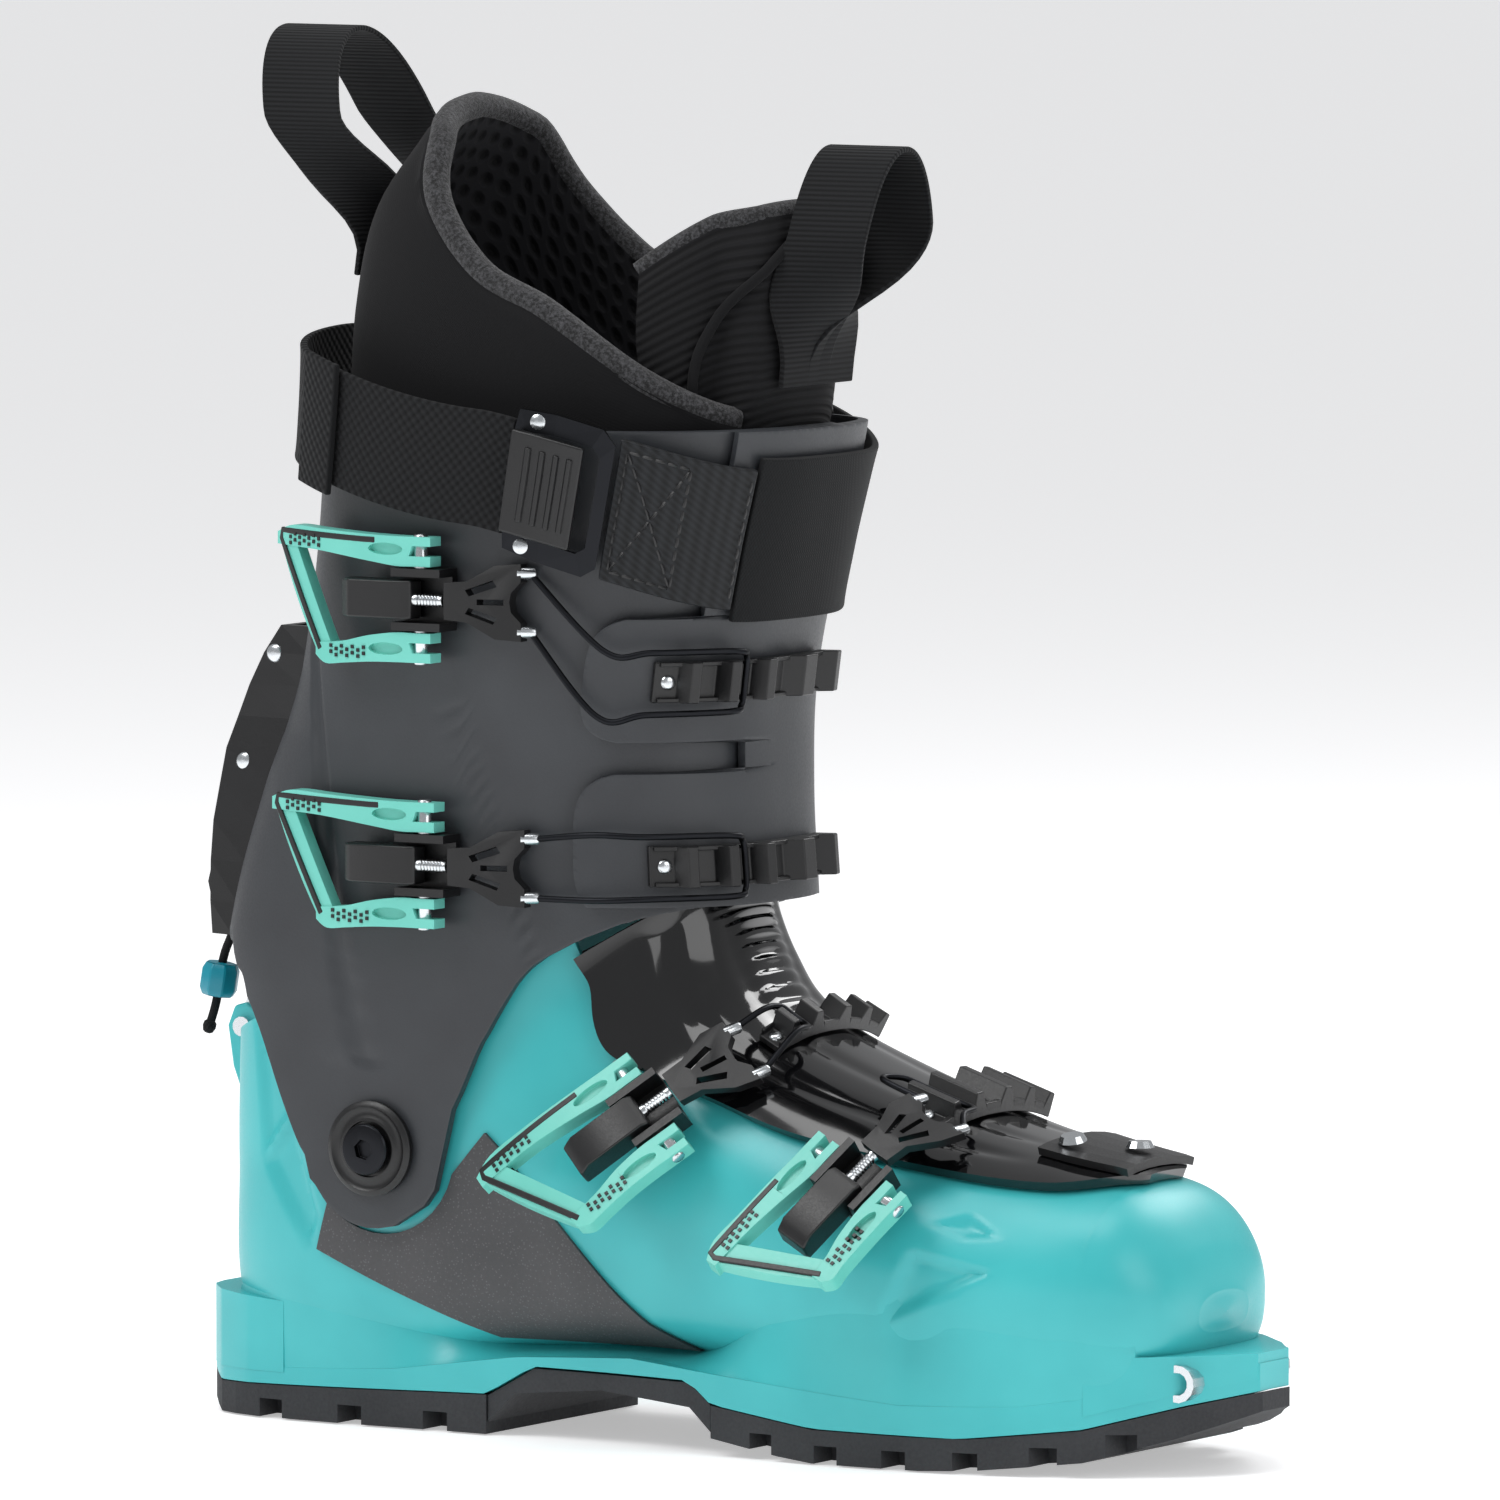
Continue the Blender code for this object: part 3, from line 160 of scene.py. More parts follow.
# %% Specks and rubber
speck_tree = carbon_frame.node_tree
speck_shader = speck_tree.nodes["Principled BSDF"]
speck_place = add(speck_tree, "TexCoord").outputs["Object"]
cells = add(speck_tree, "TexVoronoi", {"Vector": speck_place, "Scale": 1 / (0.9 * MM)})
chosen = add(speck_tree, "MapRange", {"Value": cells.outputs["Distance"], "From Min": 0.12, "From Max": 0.3,
                                      "To Min": 0.35, "To Max": 0.0})
base_link = speck_shader.inputs["Base Color"].links[0].from_socket
specks = add(speck_tree, "Mix", {0: chosen.outputs["Result"], 6: base_link, 7: colour("77777A")},
             data_type="RGBA")
speck_tree.links.new(specks.outputs[2], speck_shader.inputs["Base Color"])
lug_rubber = moulded("lug_rubber", "26272A", "323336", 0.78, grain=0.8, depth=0.08, spread=0.15, IOR=1.52)
print("specks every 0.9 mm")

# %% [markdown]
# ## Metals
# Pins, sockets and the rod of each buckle are turned steel with a bright finish. Fine turning marks widen the
# highlight a little. The cam frame is dark anodised aluminium: metal under a thin dyed oxide, so it keeps a
# metal's highlight with a dark tint.


# %% Metals
def metal(name, code, roughness, mark=0.3):
    material, tree, shader = start_finish(name, roughness, Metallic=1.0)
    shader.inputs["Base Color"].default_value = colour(code)
    place = add(tree, "TexCoord").outputs["Object"]
    marks = add(tree, "TexNoise", {"Vector": place, "Scale": 1 / (mark * MM), "Detail": 2})
    rough = add(tree, "MapRange", {"Value": marks.outputs["Fac"], "To Min": roughness - 0.07,
                                   "To Max": roughness + 0.07})
    tree.links.new(rough.outputs["Result"], shader.inputs["Roughness"])
    join_height(tree, shader, marks.outputs["Fac"], 0.01)
    return material


# turned steel pins, sockets and rods: polished after turning
turned_steel = metal("turned_steel", "D5D9DC", 0.24)
# die-cast aluminium, blasted and then anodised black
anodised_black = metal("anodised_black", "2B2C2F", 0.36)
# steel wire rope drawn through a thin black coat
coated_wire = metal("coated_wire", "26272A", 0.4)
print("metals ready")

# %% [markdown]
# ## Woven and knitted finishes
# A weave is threads that pass over and under each other. Two sine waves multiplied give that over and under in
# one line, at a real thread pitch. The pieces carry a map in metres, along and across the strap, so the pattern
# follows the strap round the leg, which plain object coordinates would not.


# %% Weave recipe
def woven(name, low, high, along_mm, across_mm, depth, kind="MULTIPLY", slant=0.0, roughness=0.85):
    material, tree, shader = start_finish(name, roughness, Specular_IOR_Level=0.25, Sheen_Weight=0.03,
                                           Sheen_Roughness=0.5)
    flat = add(tree, "UVMap", uv_map="cut").outputs["UV"]
    parts = add(tree, "SeparateXYZ", {"Vector": flat})
    leaning = add(tree, "Math", {0: parts.outputs["Y"], 1: slant, 2: parts.outputs["X"]},
                  operation="MULTIPLY_ADD")
    first = add(tree, "Math", {0: leaning.outputs[0], 1: 2 * math.pi / (along_mm * MM)}, operation="MULTIPLY")
    second = add(tree, "Math", {0: parts.outputs["Y"], 1: 2 * math.pi / (across_mm * MM)}, operation="MULTIPLY")
    over = add(tree, "Math", {0: first.outputs[0]}, operation="SINE")
    under = add(tree, "Math", {0: second.outputs[0]}, operation="SINE")
    cloth = add(tree, "Math", {0: over.outputs[0], 1: under.outputs[0]}, operation=kind)
    height = add(tree, "MapRange", {"Value": cloth.outputs[0], "From Min": -1, "From Max": 1})
    tone = add(tree, "Mix", {0: height.outputs["Result"], 6: colour(low), 7: colour(high)}, data_type="RGBA")
    tree.links.new(tone.outputs[2], shader.inputs["Base Color"])
    join_height(tree, shader, height.outputs["Result"], depth)
    return material


# power strap: coarse polyester basket weave, one pattern repeat in 2.6 mm
basket_webbing = woven("basket_webbing", "040405", "1C1D1F", 2.6, 2.6, 0.35)
# woven elastic: a fine, nearly flat weave
ribbed_elastic = woven("ribbed_elastic", "0E0F10", "17181A", 0.9, 1.4, 0.06)
# grosgrain of the pull loops: ribs straight across the tape, 1.3 mm apart
grosgrain = woven("grosgrain_tape", "070708", "191A1C", 1.3, 400, 0.16, kind="ADD")
# leatherette printed and embossed with a 2 x 2 twill, so bands run at a slant
twill_leatherette = woven("twill_leatherette", "0C0D0E", "232528", 3.4, 3.4, 0.10, slant=1.0, roughness=0.5)
# neoprene with a smooth knitted face outside the inner boot
knit_face = woven("knit_face", "08080A", "101012", 0.8, 0.8, 0.03, roughness=0.9)
# ribbed knit over the inner boot's tongue, ribs 2.4 mm apart and level
ribbed_knit = woven("ribbed_knit", "060607", "141416", 2.4, 400, 0.4, kind="ADD", roughness=0.88)
# braided polyester cord: strands that cross every millimetre
braided_cord = woven("braided_cord", "060607", "1E1F21", 1.0, 1.0, 0.12)
print("woven finishes ready")

# %% [markdown]
# ## Lining and piping
# The lining inside the collar is a spacer knit with round dimples 5.5 mm apart. A cell pattern with a smooth
# edge gives the dimples. The piping is brushed pile: dull, with pale fibre tips, so it gets sheen and a mottled
# tone.

# %% Lining and piping
dimpled_lining, tree, shader = start_finish("dimpled_lining", 0.92, Specular_IOR_Level=0.3)
flat = add(tree, "UVMap", uv_map="cut").outputs["UV"]
dimples = add(tree, "TexVoronoi", {"Vector": flat, "Scale": 1 / (5.5 * MM), "Randomness": 0.1})
pit = add(tree, "MapRange", {"Value": dimples.outputs["Distance"], "From Min": 0.15, "From Max": 0.42})
pit_tone = add(tree, "Mix", {0: pit.outputs["Result"], 6: colour("08080A"), 7: colour("1F1F22")},
               data_type="RGBA")
tree.links.new(pit_tone.outputs[2], shader.inputs["Base Color"])
join_height(tree, shader, pit.outputs["Result"], 0.9)
brushed_pile, tree, shader = start_finish("brushed_pile", 0.95, Sheen_Weight=0.15, Sheen_Roughness=0.5)
pile_place = add(tree, "TexCoord").outputs["Object"]
pile = add(tree, "TexNoise", {"Vector": pile_place, "Scale": 1 / (0.9 * MM), "Detail": 5, "Roughness": 0.7})
pile_tone = add(tree, "ValToRGB", {"Fac": pile.outputs["Fac"]})
pile_tone.color_ramp.elements[0].position, pile_tone.color_ramp.elements[1].position = 0.42, 0.68
pile_tone.color_ramp.elements[0].color = colour("0B0B0C")
pile_tone.color_ramp.elements[1].color = colour("4A4A4D")
tree.links.new(pile_tone.outputs["Color"], shader.inputs["Base Color"])
join_height(tree, shader, pile.outputs["Fac"], 0.5)
print("lining dimples 5.5 mm apart")

# %% [markdown]
# ## The boot's curves
# The shell and the cuff are free-form skins. Each is one formula: the foot is a row of rounded sections from the
# toe round the heel to the ankle, and the leg is a stack of rounded rings. Every layer on top of another is the
# same formula with an offset, so pieces lie on each other without gaps. Lengths are in millimetres.

# %% Curve formulas
BALL_HALF, ANKLE_HALF, PIVOT_Z = 47.0, 42.0, 70.0
SHELL_WALL, CUFF_WALL, CUFF_OUTER = 3.5, 3.0, 46.2
# each section: lower point, upper point, half width, and how far the tongue's edge lies out as a share of it
SECTIONS = [((213, 33), (214, 43), 12, 1.0), ((210, 25), (210.5, 55), 26, 1.0), ((200, 18), (200, 67), 36, 1.0),
            ((180, 15), (180, 71.5), 43, 0.84), ((150, 14), (152, 78), BALL_HALF, 0.76),
            ((110, 17), (118, 90), 0.985 * BALL_HALF, 0.65), ((70, 20), (98, 99), 0.945 * BALL_HALF, 0.63),
            ((35, 18), (88, 108), ANKLE_HALF, 0.58), ((0, 13), (83, 117), ANKLE_HALF, 0.55),
            ((-35, 11), (80, 125), ANKLE_HALF, 0.57), ((-56, 24), (78.5, 131), ANKLE_HALF, 0.58),
            ((-58, 60), (78, 138), ANKLE_HALF, 0.51), ((-57.5, 93), (78, 145), ANKLE_HALF, 0.51)]
# each ring: height, back, front, and how far it is wider than the cuff at the ankle
LEG = [(45, -57.0, 84.0, 0), (100, -57.5, 86.0, 0), (125, -56.0, 87.5, 0), (157, -48.0, 85.5, 0.3),
       (185, -38.0, 86.0, 0.8), (215, -33.0, 92.0, 2.0), (248, -30.5, 100.0, 2.8), (275, -29.0, 103.0, 1.5),
       (300, -23.0, 103.5, -2.0), (326, -6.0, 103.0, -8.0)]
RAILS = [[s[i][j] for s in SECTIONS] for i in (0, 1) for j in (0, 1)]
HALVES, EDGES = [s[2] for s in SECTIONS], [s[3] for s in SECTIONS]


def between(a, b, t):
    return a + (b - a) * t


def spline(values, t):
    k = min(max(int(t), 0), len(values) - 2)
    u = t - k
    p0, p1, p2, p3 = (values[min(max(k + d, 0), len(values) - 1)] for d in (-1, 0, 1, 2))
    return 0.5 * (2 * p1 + (p2 - p0) * u + (2 * p0 - 5 * p1 + 4 * p2 - p3) * u * u
                  + (3 * p1 - p0 - 3 * p2 + p3) * u ** 3)


def graph(points, x):
    if x <= points[0][0]:
        return points[0][1]
    for (x0, y0), (x1, y1) in zip(points, points[1:]):
        if x <= x1:
            return between(y0, y1, (x - x0) / (x1 - x0))
    return points[-1][1]


def smooth_graph(points, x):
    x = min(max(x, points[0][0]), points[-1][0])
    for k, ((x0, _), (x1, _)) in enumerate(zip(points, points[1:])):
        if x <= x1:
            return spline([p[1] for p in points], k + (x - x0) / (x1 - x0))
    return points[-1][1]


def rounded(angle, power):
    c, s = math.cos(angle), math.sin(angle)
    return math.copysign(abs(c) ** (2 / power), c), math.copysign(abs(s) ** (2 / power), s)


def ease(t):
    t = min(max(t, 0.0), 1.0)
    return t * t * (3 - 2 * t)


def foot(section, angle, offset=0.0):
    """A point of the foot's outer face. The angle is 0 on top and grows towards the outer side."""
    bx, bz, tx, tz = (spline(rail, section) for rail in RAILS)
    length = math.hypot(tx - bx, tz - bz) / 2
    up, side = rounded(angle, 2.3 if math.cos(angle) > 0 else 2.9)
    up *= (length + offset) / length
    half = spline(HALVES, section) + offset
    return Vector(((bx + tx) / 2 + up * (tx - bx) / 2, -half * side, (bz + tz) / 2 + up * (tz - bz) / 2))


def edge_angle(section):
    """Where the tongue's edge crosses a section."""
    share = min(max(spline(EDGES, section), 0.0), 1.0)
    return math.acos(share ** (2.3 / 2)) if section > 2.0 else 0.0


LEG_LINES = [[(p[0], p[k]) for p in LEG] for k in (1, 2, 3)]


def leg(height, angle, offset=0.0):
    """A point round the leg at a height. The angle is 0 in front and grows towards the outer side."""
    back, front, wide = (smooth_graph(line, height) for line in LEG_LINES)
    boxy = graph([(110, 3.7), (170, 2.7)], height)
    ahead, side = rounded(angle, 2.5 if math.cos(angle) > 0 else boxy)
    reach = (front - back) / 2 + offset
    return Vector(((front + back) / 2 + ahead * reach, -(CUFF_OUTER + wide + offset) * side, height))


print("ball of the foot is", round(2 * BALL_HALF), "mm wide")

# %% [markdown]
# ## Making pieces
# Each piece is a mesh made from rows of points. A closed skin gets its thickness from Solidify and its soft edges
# from Bevel, because a moulded edge is never sharp. Each mesh also gets a flat map called cut, in metres, for the
# woven finishes.


def place_on(piece, finish, body):
    """Puts a piece in the scene, on its body, with its finish as its one material."""
    piece.data.materials.append(finish)
    bpy.context.scene.collection.objects.link(piece)
    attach(piece, body)
    return piece


def piece_from(name, points, faces, finish, body, flat=None, sharp=40):
    mesh = bpy.data.meshes.new(name)
    mesh.from_pydata([Vector(p) * MM for p in points], [], faces)
    if flat:
        layer = mesh.uv_layers.new(name="cut")
        layer.data.foreach_set("uv", [c * MM for loop in mesh.loops for c in flat[loop.vertex_index]])
    mesh.validate()
    work = bmesh.new()
    work.from_mesh(mesh)
    bmesh.ops.recalc_face_normals(work, faces=work.faces[:])
    work.to_mesh(mesh)
    work.free()
    mesh.shade_smooth()
    mesh.set_sharp_from_angle(angle=math.radians(sharp))
    return place_on(bpy.data.objects.new(name, mesh), finish, body)


def loft(name, rows, finish, body, ring=False, caps=False, sharp=40):
    """A skin through rows of points of one count. ring closes each row on itself, caps closes the two ends."""
    count = len(rows[0])
    points = [p for row in rows for p in row]
    faces, flat, length = [], [], 0.0
    for i, row in enumerate(rows):
        length += (row[0] - rows[i - 1][0]).length if i else 0.0
        across = 0.0
        for j, p in enumerate(row):
            across += (p - row[j - 1]).length if j else 0.0
            flat.append((length, across))
    for i in range(len(rows) - 1):
        for j in range(count if ring else count - 1):
            a, b = i * count + j, i * count + (j + 1) % count
            faces.append([a, b, b + count, a + count])
    if caps:
        faces += [list(range(count))[::-1], list(range(len(points) - count, len(points)))]
    return piece_from(name, points, faces, finish, body, flat, sharp)


def thicken(piece, wall, outward=-1):
    step = piece.modifiers.new("wall", "SOLIDIFY")
    step.thickness, step.offset, step.use_even_offset = wall * MM, outward, True
    return piece


def soften(piece, width, segments=3, angle=35):
    step = piece.modifiers.new("edge", "BEVEL")
    step.width, step.segments = width * MM, segments
    step.limit_method, step.angle_limit = "ANGLE", math.radians(angle)
    step.harden_normals = True
    return piece


def carve(piece, cutter, operation="DIFFERENCE"):
    """A Boolean that is worked out at once, so that later modifiers see its result."""
    step = piece.modifiers.new("cut", "BOOLEAN")
    step.object, step.operation, step.solver = cutter, operation, "EXACT"
    bpy.context.view_layer.update()
    result = bpy.data.meshes.new_from_object(piece.evaluated_get(bpy.context.evaluated_depsgraph_get()))
    piece.modifiers.clear()
    piece.data = result
    bpy.data.objects.remove(cutter)
    result.shade_smooth()
    result.set_sharp_from_angle(angle=math.radians(35))
    return piece


def tube(name, route, radius, finish, body, step=1.0, sides=5):
    places = []
    for k in range(len(route) - 1):
        count = max(1, round((Vector(route[k + 1]) - Vector(route[k])).length / step))
        places += [[spline([p[axis] for p in route], k + j / count) for axis in range(3)] for j in range(count)]
    places.append(list(route[-1]))
    curve = bpy.data.curves.new(name, "CURVE")
    curve.dimensions, curve.use_fill_caps = "3D", True
    curve.bevel_depth, curve.bevel_resolution = radius * MM, sides
    line = curve.splines.new("POLY")
    line.points.add(len(places) - 1)
    for point, place in zip(line.points, places):
        point.co = [c * MM for c in place] + [1.0]
    return place_on(bpy.data.objects.new(name, curve), finish, body)


def turned(name, start, axis, profile, finish, body, sides=32):
    """A lathed piece: profile is (distance along the axis, radius) pairs."""
    axis = Vector(axis).normalized()
    side = axis.orthogonal().normalized()
    across = axis.cross(side)
    rows = [[Vector(start) + axis * d + r * (math.cos(t) * side + math.sin(t) * across)
             for t in (2 * math.pi * k / sides for k in range(sides))] for d, r in profile]
    return loft(name, rows, finish, body, ring=True, caps=True, sharp=50)


print("mesh helpers ready")

# %% [markdown]
# ## The release cord
# A short doubled cord hangs from the walk lever, with a bead to pull on. Its route goes over the lever's foot and
# falls down the heel, about 31 mm in all. The folded end is tied off as a small knob under the bead.

# %% Cord, bead and folded end
CORD_ROUTE = [(-69.6, -4.4, 122.9), (-67.5, -5.0, 120.9), (-66.2, -5.7, 118.5), (-66.9, -6.1, 115.6),
              (-68.3, -6.2, 112.4), (-69.3, -6.3, 108.9), (-70.0, -6.4, 105.0), (-70.5, -6.6, 101.0),
              (-71.2, -6.9, 97.6), (-72.0, -7.3, 94.6)]
CORD_RADIUS = 1.1
cord = tube("pull_cord", CORD_ROUTE, CORD_RADIUS, braided_cord, "walk_lever", step=0.8)
middle, hang = Vector(CORD_ROUTE[6]), (Vector(CORD_ROUTE[7]) - Vector(CORD_ROUTE[5])).normalized()
bead = turned("pull_bead", middle, hang, [(-4.25, 1.5), (-4.25, 3.6), (-3.9, 4.1), (-2.4, 4.85), (2.4, 4.85),
                                          (3.9, 4.1), (4.25, 3.6), (4.25, 1.5)], petrol_acetal, "walk_lever", 8)
soften(bead, 0.4)
end, before = Vector(CORD_ROUTE[-1]), Vector(CORD_ROUTE[-2])
knob = turned("cord_fold", end, end - before, [(0, 1.1), (0.5, 1.6), (1.6, 1.7), (2.8, 1.3), (3.2, 0.7)],
              braided_cord, "walk_lever", 20)
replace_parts(cord, "release_cord")
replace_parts(bead, "cord_bead")
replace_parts(knob, "cord_end")

# %% [markdown]
# ## Light and floor
# A pale seamless floor, a pale sky and four large soft lights: key, fill, back and top. They give long soft
# highlights along the shell and keep the black pieces readable. The floor glows a little, so that it stays pale.

# %% Stage
bpy.ops.mesh.primitive_plane_add(size=40, location=(0, 0, -0.0004))
floor = bpy.context.object
floor.name = "studio_floor"
paper, tree, shader = start_finish("seamless_paper", 0.7)
shader.inputs["Base Color"].default_value = colour("F4F4F5")
shader.inputs["Emission Color"].default_value = colour("FFFFFF")
shader.inputs["Emission Strength"].default_value = 0.42
floor.data.materials.append(paper)
world = bpy.data.worlds.new("studio")
world.use_nodes = True
world.node_tree.nodes["Background"].inputs["Color"].default_value = colour("F5F6F8")
world.node_tree.nodes["Background"].inputs["Strength"].default_value = 0.42
bpy.context.scene.world = world
for label, turn, rise, far, size, power in (("key", -35, 48, 1.8, 0.9, 15), ("fill", 75, 22, 2.0, 1.2, 8),
                                            ("back", 165, 40, 1.8, 0.9, 13), ("top", 20, 84, 1.7, 1.0, 9)):
    light = bpy.data.lights.new(label, "AREA")
    light.size, light.energy = size, power
    lamp = bpy.data.objects.new(label, light)
    ray = Vector((math.sin(math.radians(turn)) * math.cos(math.radians(rise)),
                  -math.cos(math.radians(turn)) * math.cos(math.radians(rise)), math.sin(math.radians(rise))))
    lamp.location = target + far * ray
    lamp.rotation_euler = (-ray).to_track_quat("-Z", "Y").to_euler()
    bpy.context.scene.collection.objects.link(lamp)
print("four lights")

# %% [markdown]
# ## The shell
# The lower shell is one injection-moulded bowl, open along the top where the tongue lies. It is drawn as one fine
# skin and thickened inwards. Shallow facets are pressed into its side by moving the skin's points in, where the
# mould's maker would leave raised faces. A Bevel rounds the rim.


# %% Shell skin
def inside(polygon, x, z):
    found = False
    for (x0, z0), (x1, z1) in zip(polygon, polygon[1:] + polygon[:1]):
        if (z0 > z) != (z1 > z) and x < x0 + (z - z0) / (z1 - z0) * (x1 - x0):
            found = not found
    return found


def edge_distance(polygon, x, z):
    best = 1e9
    for (x0, z0), (x1, z1) in zip(polygon, polygon[1:] + polygon[:1]):
        t = ((x - x0) * (x1 - x0) + (z - z0) * (z1 - z0)) / ((x1 - x0) ** 2 + (z1 - z0) ** 2)
        t = min(max(t, 0), 1)
        best = min(best, math.hypot(x - x0 - t * (x1 - x0), z - z0 - t * (z1 - z0)))
    return best


FACETS = [([(156.2, 59.8), (165.4, 56), (176.5, 56.6), (165.9, 63.2)], 1.4),
          ([(152.5, 54.5), (176.5, 49.3), (142.5, 33.1)], 1.8),
          ([(-45.7, 107.1), (-27.6, 77), (-38.8, 64.1), (-42.2, 93.6)], 1.5),
          ([(-38.8, 64.1), (-27.6, 77), (-19, 51.5), (-22.5, 41.4)], 1.5)]


def pressed(x, z, facets, slope=3.0):
    """How deep the mould's facets press in at a place: a plane slope from each outline inwards."""
    return sum(depth * ease(edge_distance(outline, x, z) / slope)
               for outline, depth in facets if inside(outline, x, z))


def throat(section):
    return max(0.0, edge_angle(section) - math.radians(7)) if section > 2.3 else 0.0


def shell_row(section, columns=190):
    gap = throat(section)
    row = []
    for j in range(columns + 1):
        angle = between(gap, 2 * math.pi - gap, j / columns)
        p = foot(section, angle)
        row.append(foot(section, angle, -pressed(p.x, p.z, FACETS)))
    return row


rows = []
nose = shell_row(0)
nose_middle = sum(nose, Vector()) / len(nose)
for k in range(5):
    grow = math.sin(math.radians(20 * k + 0.6))
    rows.append([nose_middle + (p - nose_middle) * grow - Vector((0.9 * ease(grow) - 0.9, 0, 0)) for p in nose])
rows += [shell_row(12 * k / 260) for k in range(261)]
shell = thicken(loft("shell_bowl", rows, turquoise_polyamide, "shell"), SHELL_WALL)
soften(shell, 0.9)
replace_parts(shell, "shell_lower")
print("shell skin", len(shell.data.polygons), "faces")

# %% [markdown]
# ## The sole platform
# A boot that clips into a binding needs flat ledges of fixed size at toe and heel. They are part of the same
# moulding. Each is a slab that follows the sole's outline, with a rounded rim.

# %% Sole platform, welts and heel tower
SOLE_HALF = [(-64, 12), (-62, 21), (-56, 28), (-45, 33), (-20, 35.5), (20, 36), (60, 38.5), (95, 44), (135, 47),
             (168, 45), (192, 38.5), (208, 29), (220, 17), (228, 7)]
SHELL_BOTTOM = [(-64, 11), (-56, 8), (26, 10), (40, 17.6), (88, 17.6), (95, 12.3), (125, 8.5), (165, 8.3),
                (195, 11.5), (215, 17.0), (228, 20.0)]
UNDER = [(s[0][0], s[0][1]) for s in SECTIONS[9:0:-1]]


def slab(name, first, last, inset, bottom, top, finish, body, edge=1.0, count=60):
    rows = []
    for k in range(count + 1):
        x = between(first, last, 0.5 - 0.5 * math.cos(math.pi * k / count))
        half = smooth_graph(SOLE_HALF, x) - inset
        rows.append([Vector((x, -half, bottom(x))), Vector((x, half, bottom(x))),
                     Vector((x, half, top(x))), Vector((x, -half, top(x)))])
    return soften(loft(name, rows, finish, body, ring=True, caps=True), edge)


slab("sole_platform", -63.5, 227.5, 0.3, lambda x: graph(SHELL_BOTTOM, x),
     lambda x: max(graph(UNDER, x) + 1.6, graph(SHELL_BOTTOM, x) + 2), turquoise_polyamide, "shell", 0.8, 110)
slab("heel_welt", -63.2, -33.7, 0.1, lambda x: 11.5, lambda x: 31.0 - 0.06 * (x + 64), turquoise_polyamide,
     "shell", 2.6)
slab("toe_welt", 195.3, 227.2, 0.1, lambda x: graph(SHELL_BOTTOM, x) + 3.1, lambda x: 29.0, turquoise_polyamide,
     "shell", 2.4)


def prism(name, outline, place, low, high, finish, body, edge=0.5):
    """A plate with a drawn outline, pushed from low to high through a place function."""
    rows = [[Vector(place(a, b, depth)) for a, b in outline] for depth in (low, high)]
    return soften(loft(name, rows, finish, body, ring=True, caps=True), edge)


for side in (-1, 1):
    prism("heel_cheek_" + ("outer" if side < 0 else "inner"),
          [(-55.6, 66), (-58.5, 70), (-64, 84), (-65.5, 94), (-63.5, 99), (-60, 100), (-55.6, 97)],
          lambda x, z, y: (x, y, z), side * 6.3, side * 10, turquoise_polyamide, "shell", 0.8)
prism("heel_tower_root", [(-55.6, 66), (-58.5, 70), (-64, 84), (-55.6, 84)], lambda x, z, y: (x, y, z), -9.9, 9.9,
      turquoise_polyamide, "shell", 0.6)


def skirt(name, side):
    """The shell's side runs down to the platform's rim in one curve, as the moulding does."""
    tree = BVHTree.FromPolygons([v.co.copy() for v in shell.data.vertices],
                                [tuple(f.vertices) for f in shell.data.polygons])
    rows = []
    for k in range(101):
        x = between(-52, 206, k / 100)
        top = smooth_graph([(-52, 33), (-20, 29), (20, 22), (60, 23), (88, 24), (110, 33), (150, 42), (185, 40),
                            (206, 33)], x)
        low = max(graph(UNDER, x) + 1.6, graph(SHELL_BOTTOM, x) + 2) - 0.8
        hit = tree.ray_cast(Vector((x, side * 90, top)) * MM, Vector((0, -side, 0)))[0]
        start = (abs(hit.y) / MM if hit else 30) - 0.4
        rim = smooth_graph(SOLE_HALF, x) - 0.4
        bend = between(start, rim, 0.62)
        rows.append([Vector((x, side * ((1 - t) ** 2 * start + 2 * t * (1 - t) * bend + t * t * rim),
                             (1 - t) ** 2 * top + 2 * t * (1 - t) * between(top, low, 0.62) + t * t * low))
                     for t in (j / 12 for j in range(13))] + [Vector((x, side * (start - 8), low))])
    return loft(name, rows, turquoise_polyamide, "shell", ring=True, caps=True, sharp=50)


skirt("side_skirt_outer", -1)
skirt("side_skirt_inner", 1)
print("platform ready")

# %% [markdown]
# ## The carbon frame
# Under the ankle the shell is bonded to a stiff frame filled with chopped carbon. It shows as a grey panel whose
# outline comes out from behind the cuff and tapers towards the ball of the foot. The same skin formula is used
# with a small offset, and the outline is cut from it, so its edge is a clean line.

# %% Carbon panels
PANEL_REACH = 21.5     # the panel's hollow runs round the cuff's ear at this distance from the ankle axis
turns = [math.radians(222 + 123 * k / 12) for k in range(13)]
PANEL = [(PANEL_REACH * math.cos(t), PIVOT_Z + PANEL_REACH * math.sin(t)) for t in turns] + [
    (30, 75), (34, 71.5), (54, 50.5), (74, 30), (85, 23.5), (60, 23.5), (28, 23.5),
                                (4, 33.5), (-20, 43.5)]
for side in (1, -1):
    label = "outer" if side > 0 else "inner"
    grid = [[foot(between(5.0, 11.2, k / 60), side * math.radians(a), 0.05) for a in range(55, 183, 2)]
            for k in range(61)]
    panel = thicken(loft("frame_" + label, grid, carbon_frame, "shell"), 1.05, 1)
    cutter = loft("panel_outline", [[Vector((x, -side * y, z)) for x, z in PANEL] for y in (20, 62)], carbon_frame,
                  "shell", ring=True, caps=True)
    carve(panel, cutter, "INTERSECT")
    soften(panel, 0.3, 2)
    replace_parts(panel, "frame_panel_" + label)
print("two carbon panels")

# %% [markdown]
# ## The tongue
# The tongue is a gloss moulding hinged at the toe. Two pairs of long grooves run down it, and short
# ribs cross its upper middle. They stiffen it and give the streaked highlights of gloss elastomer.


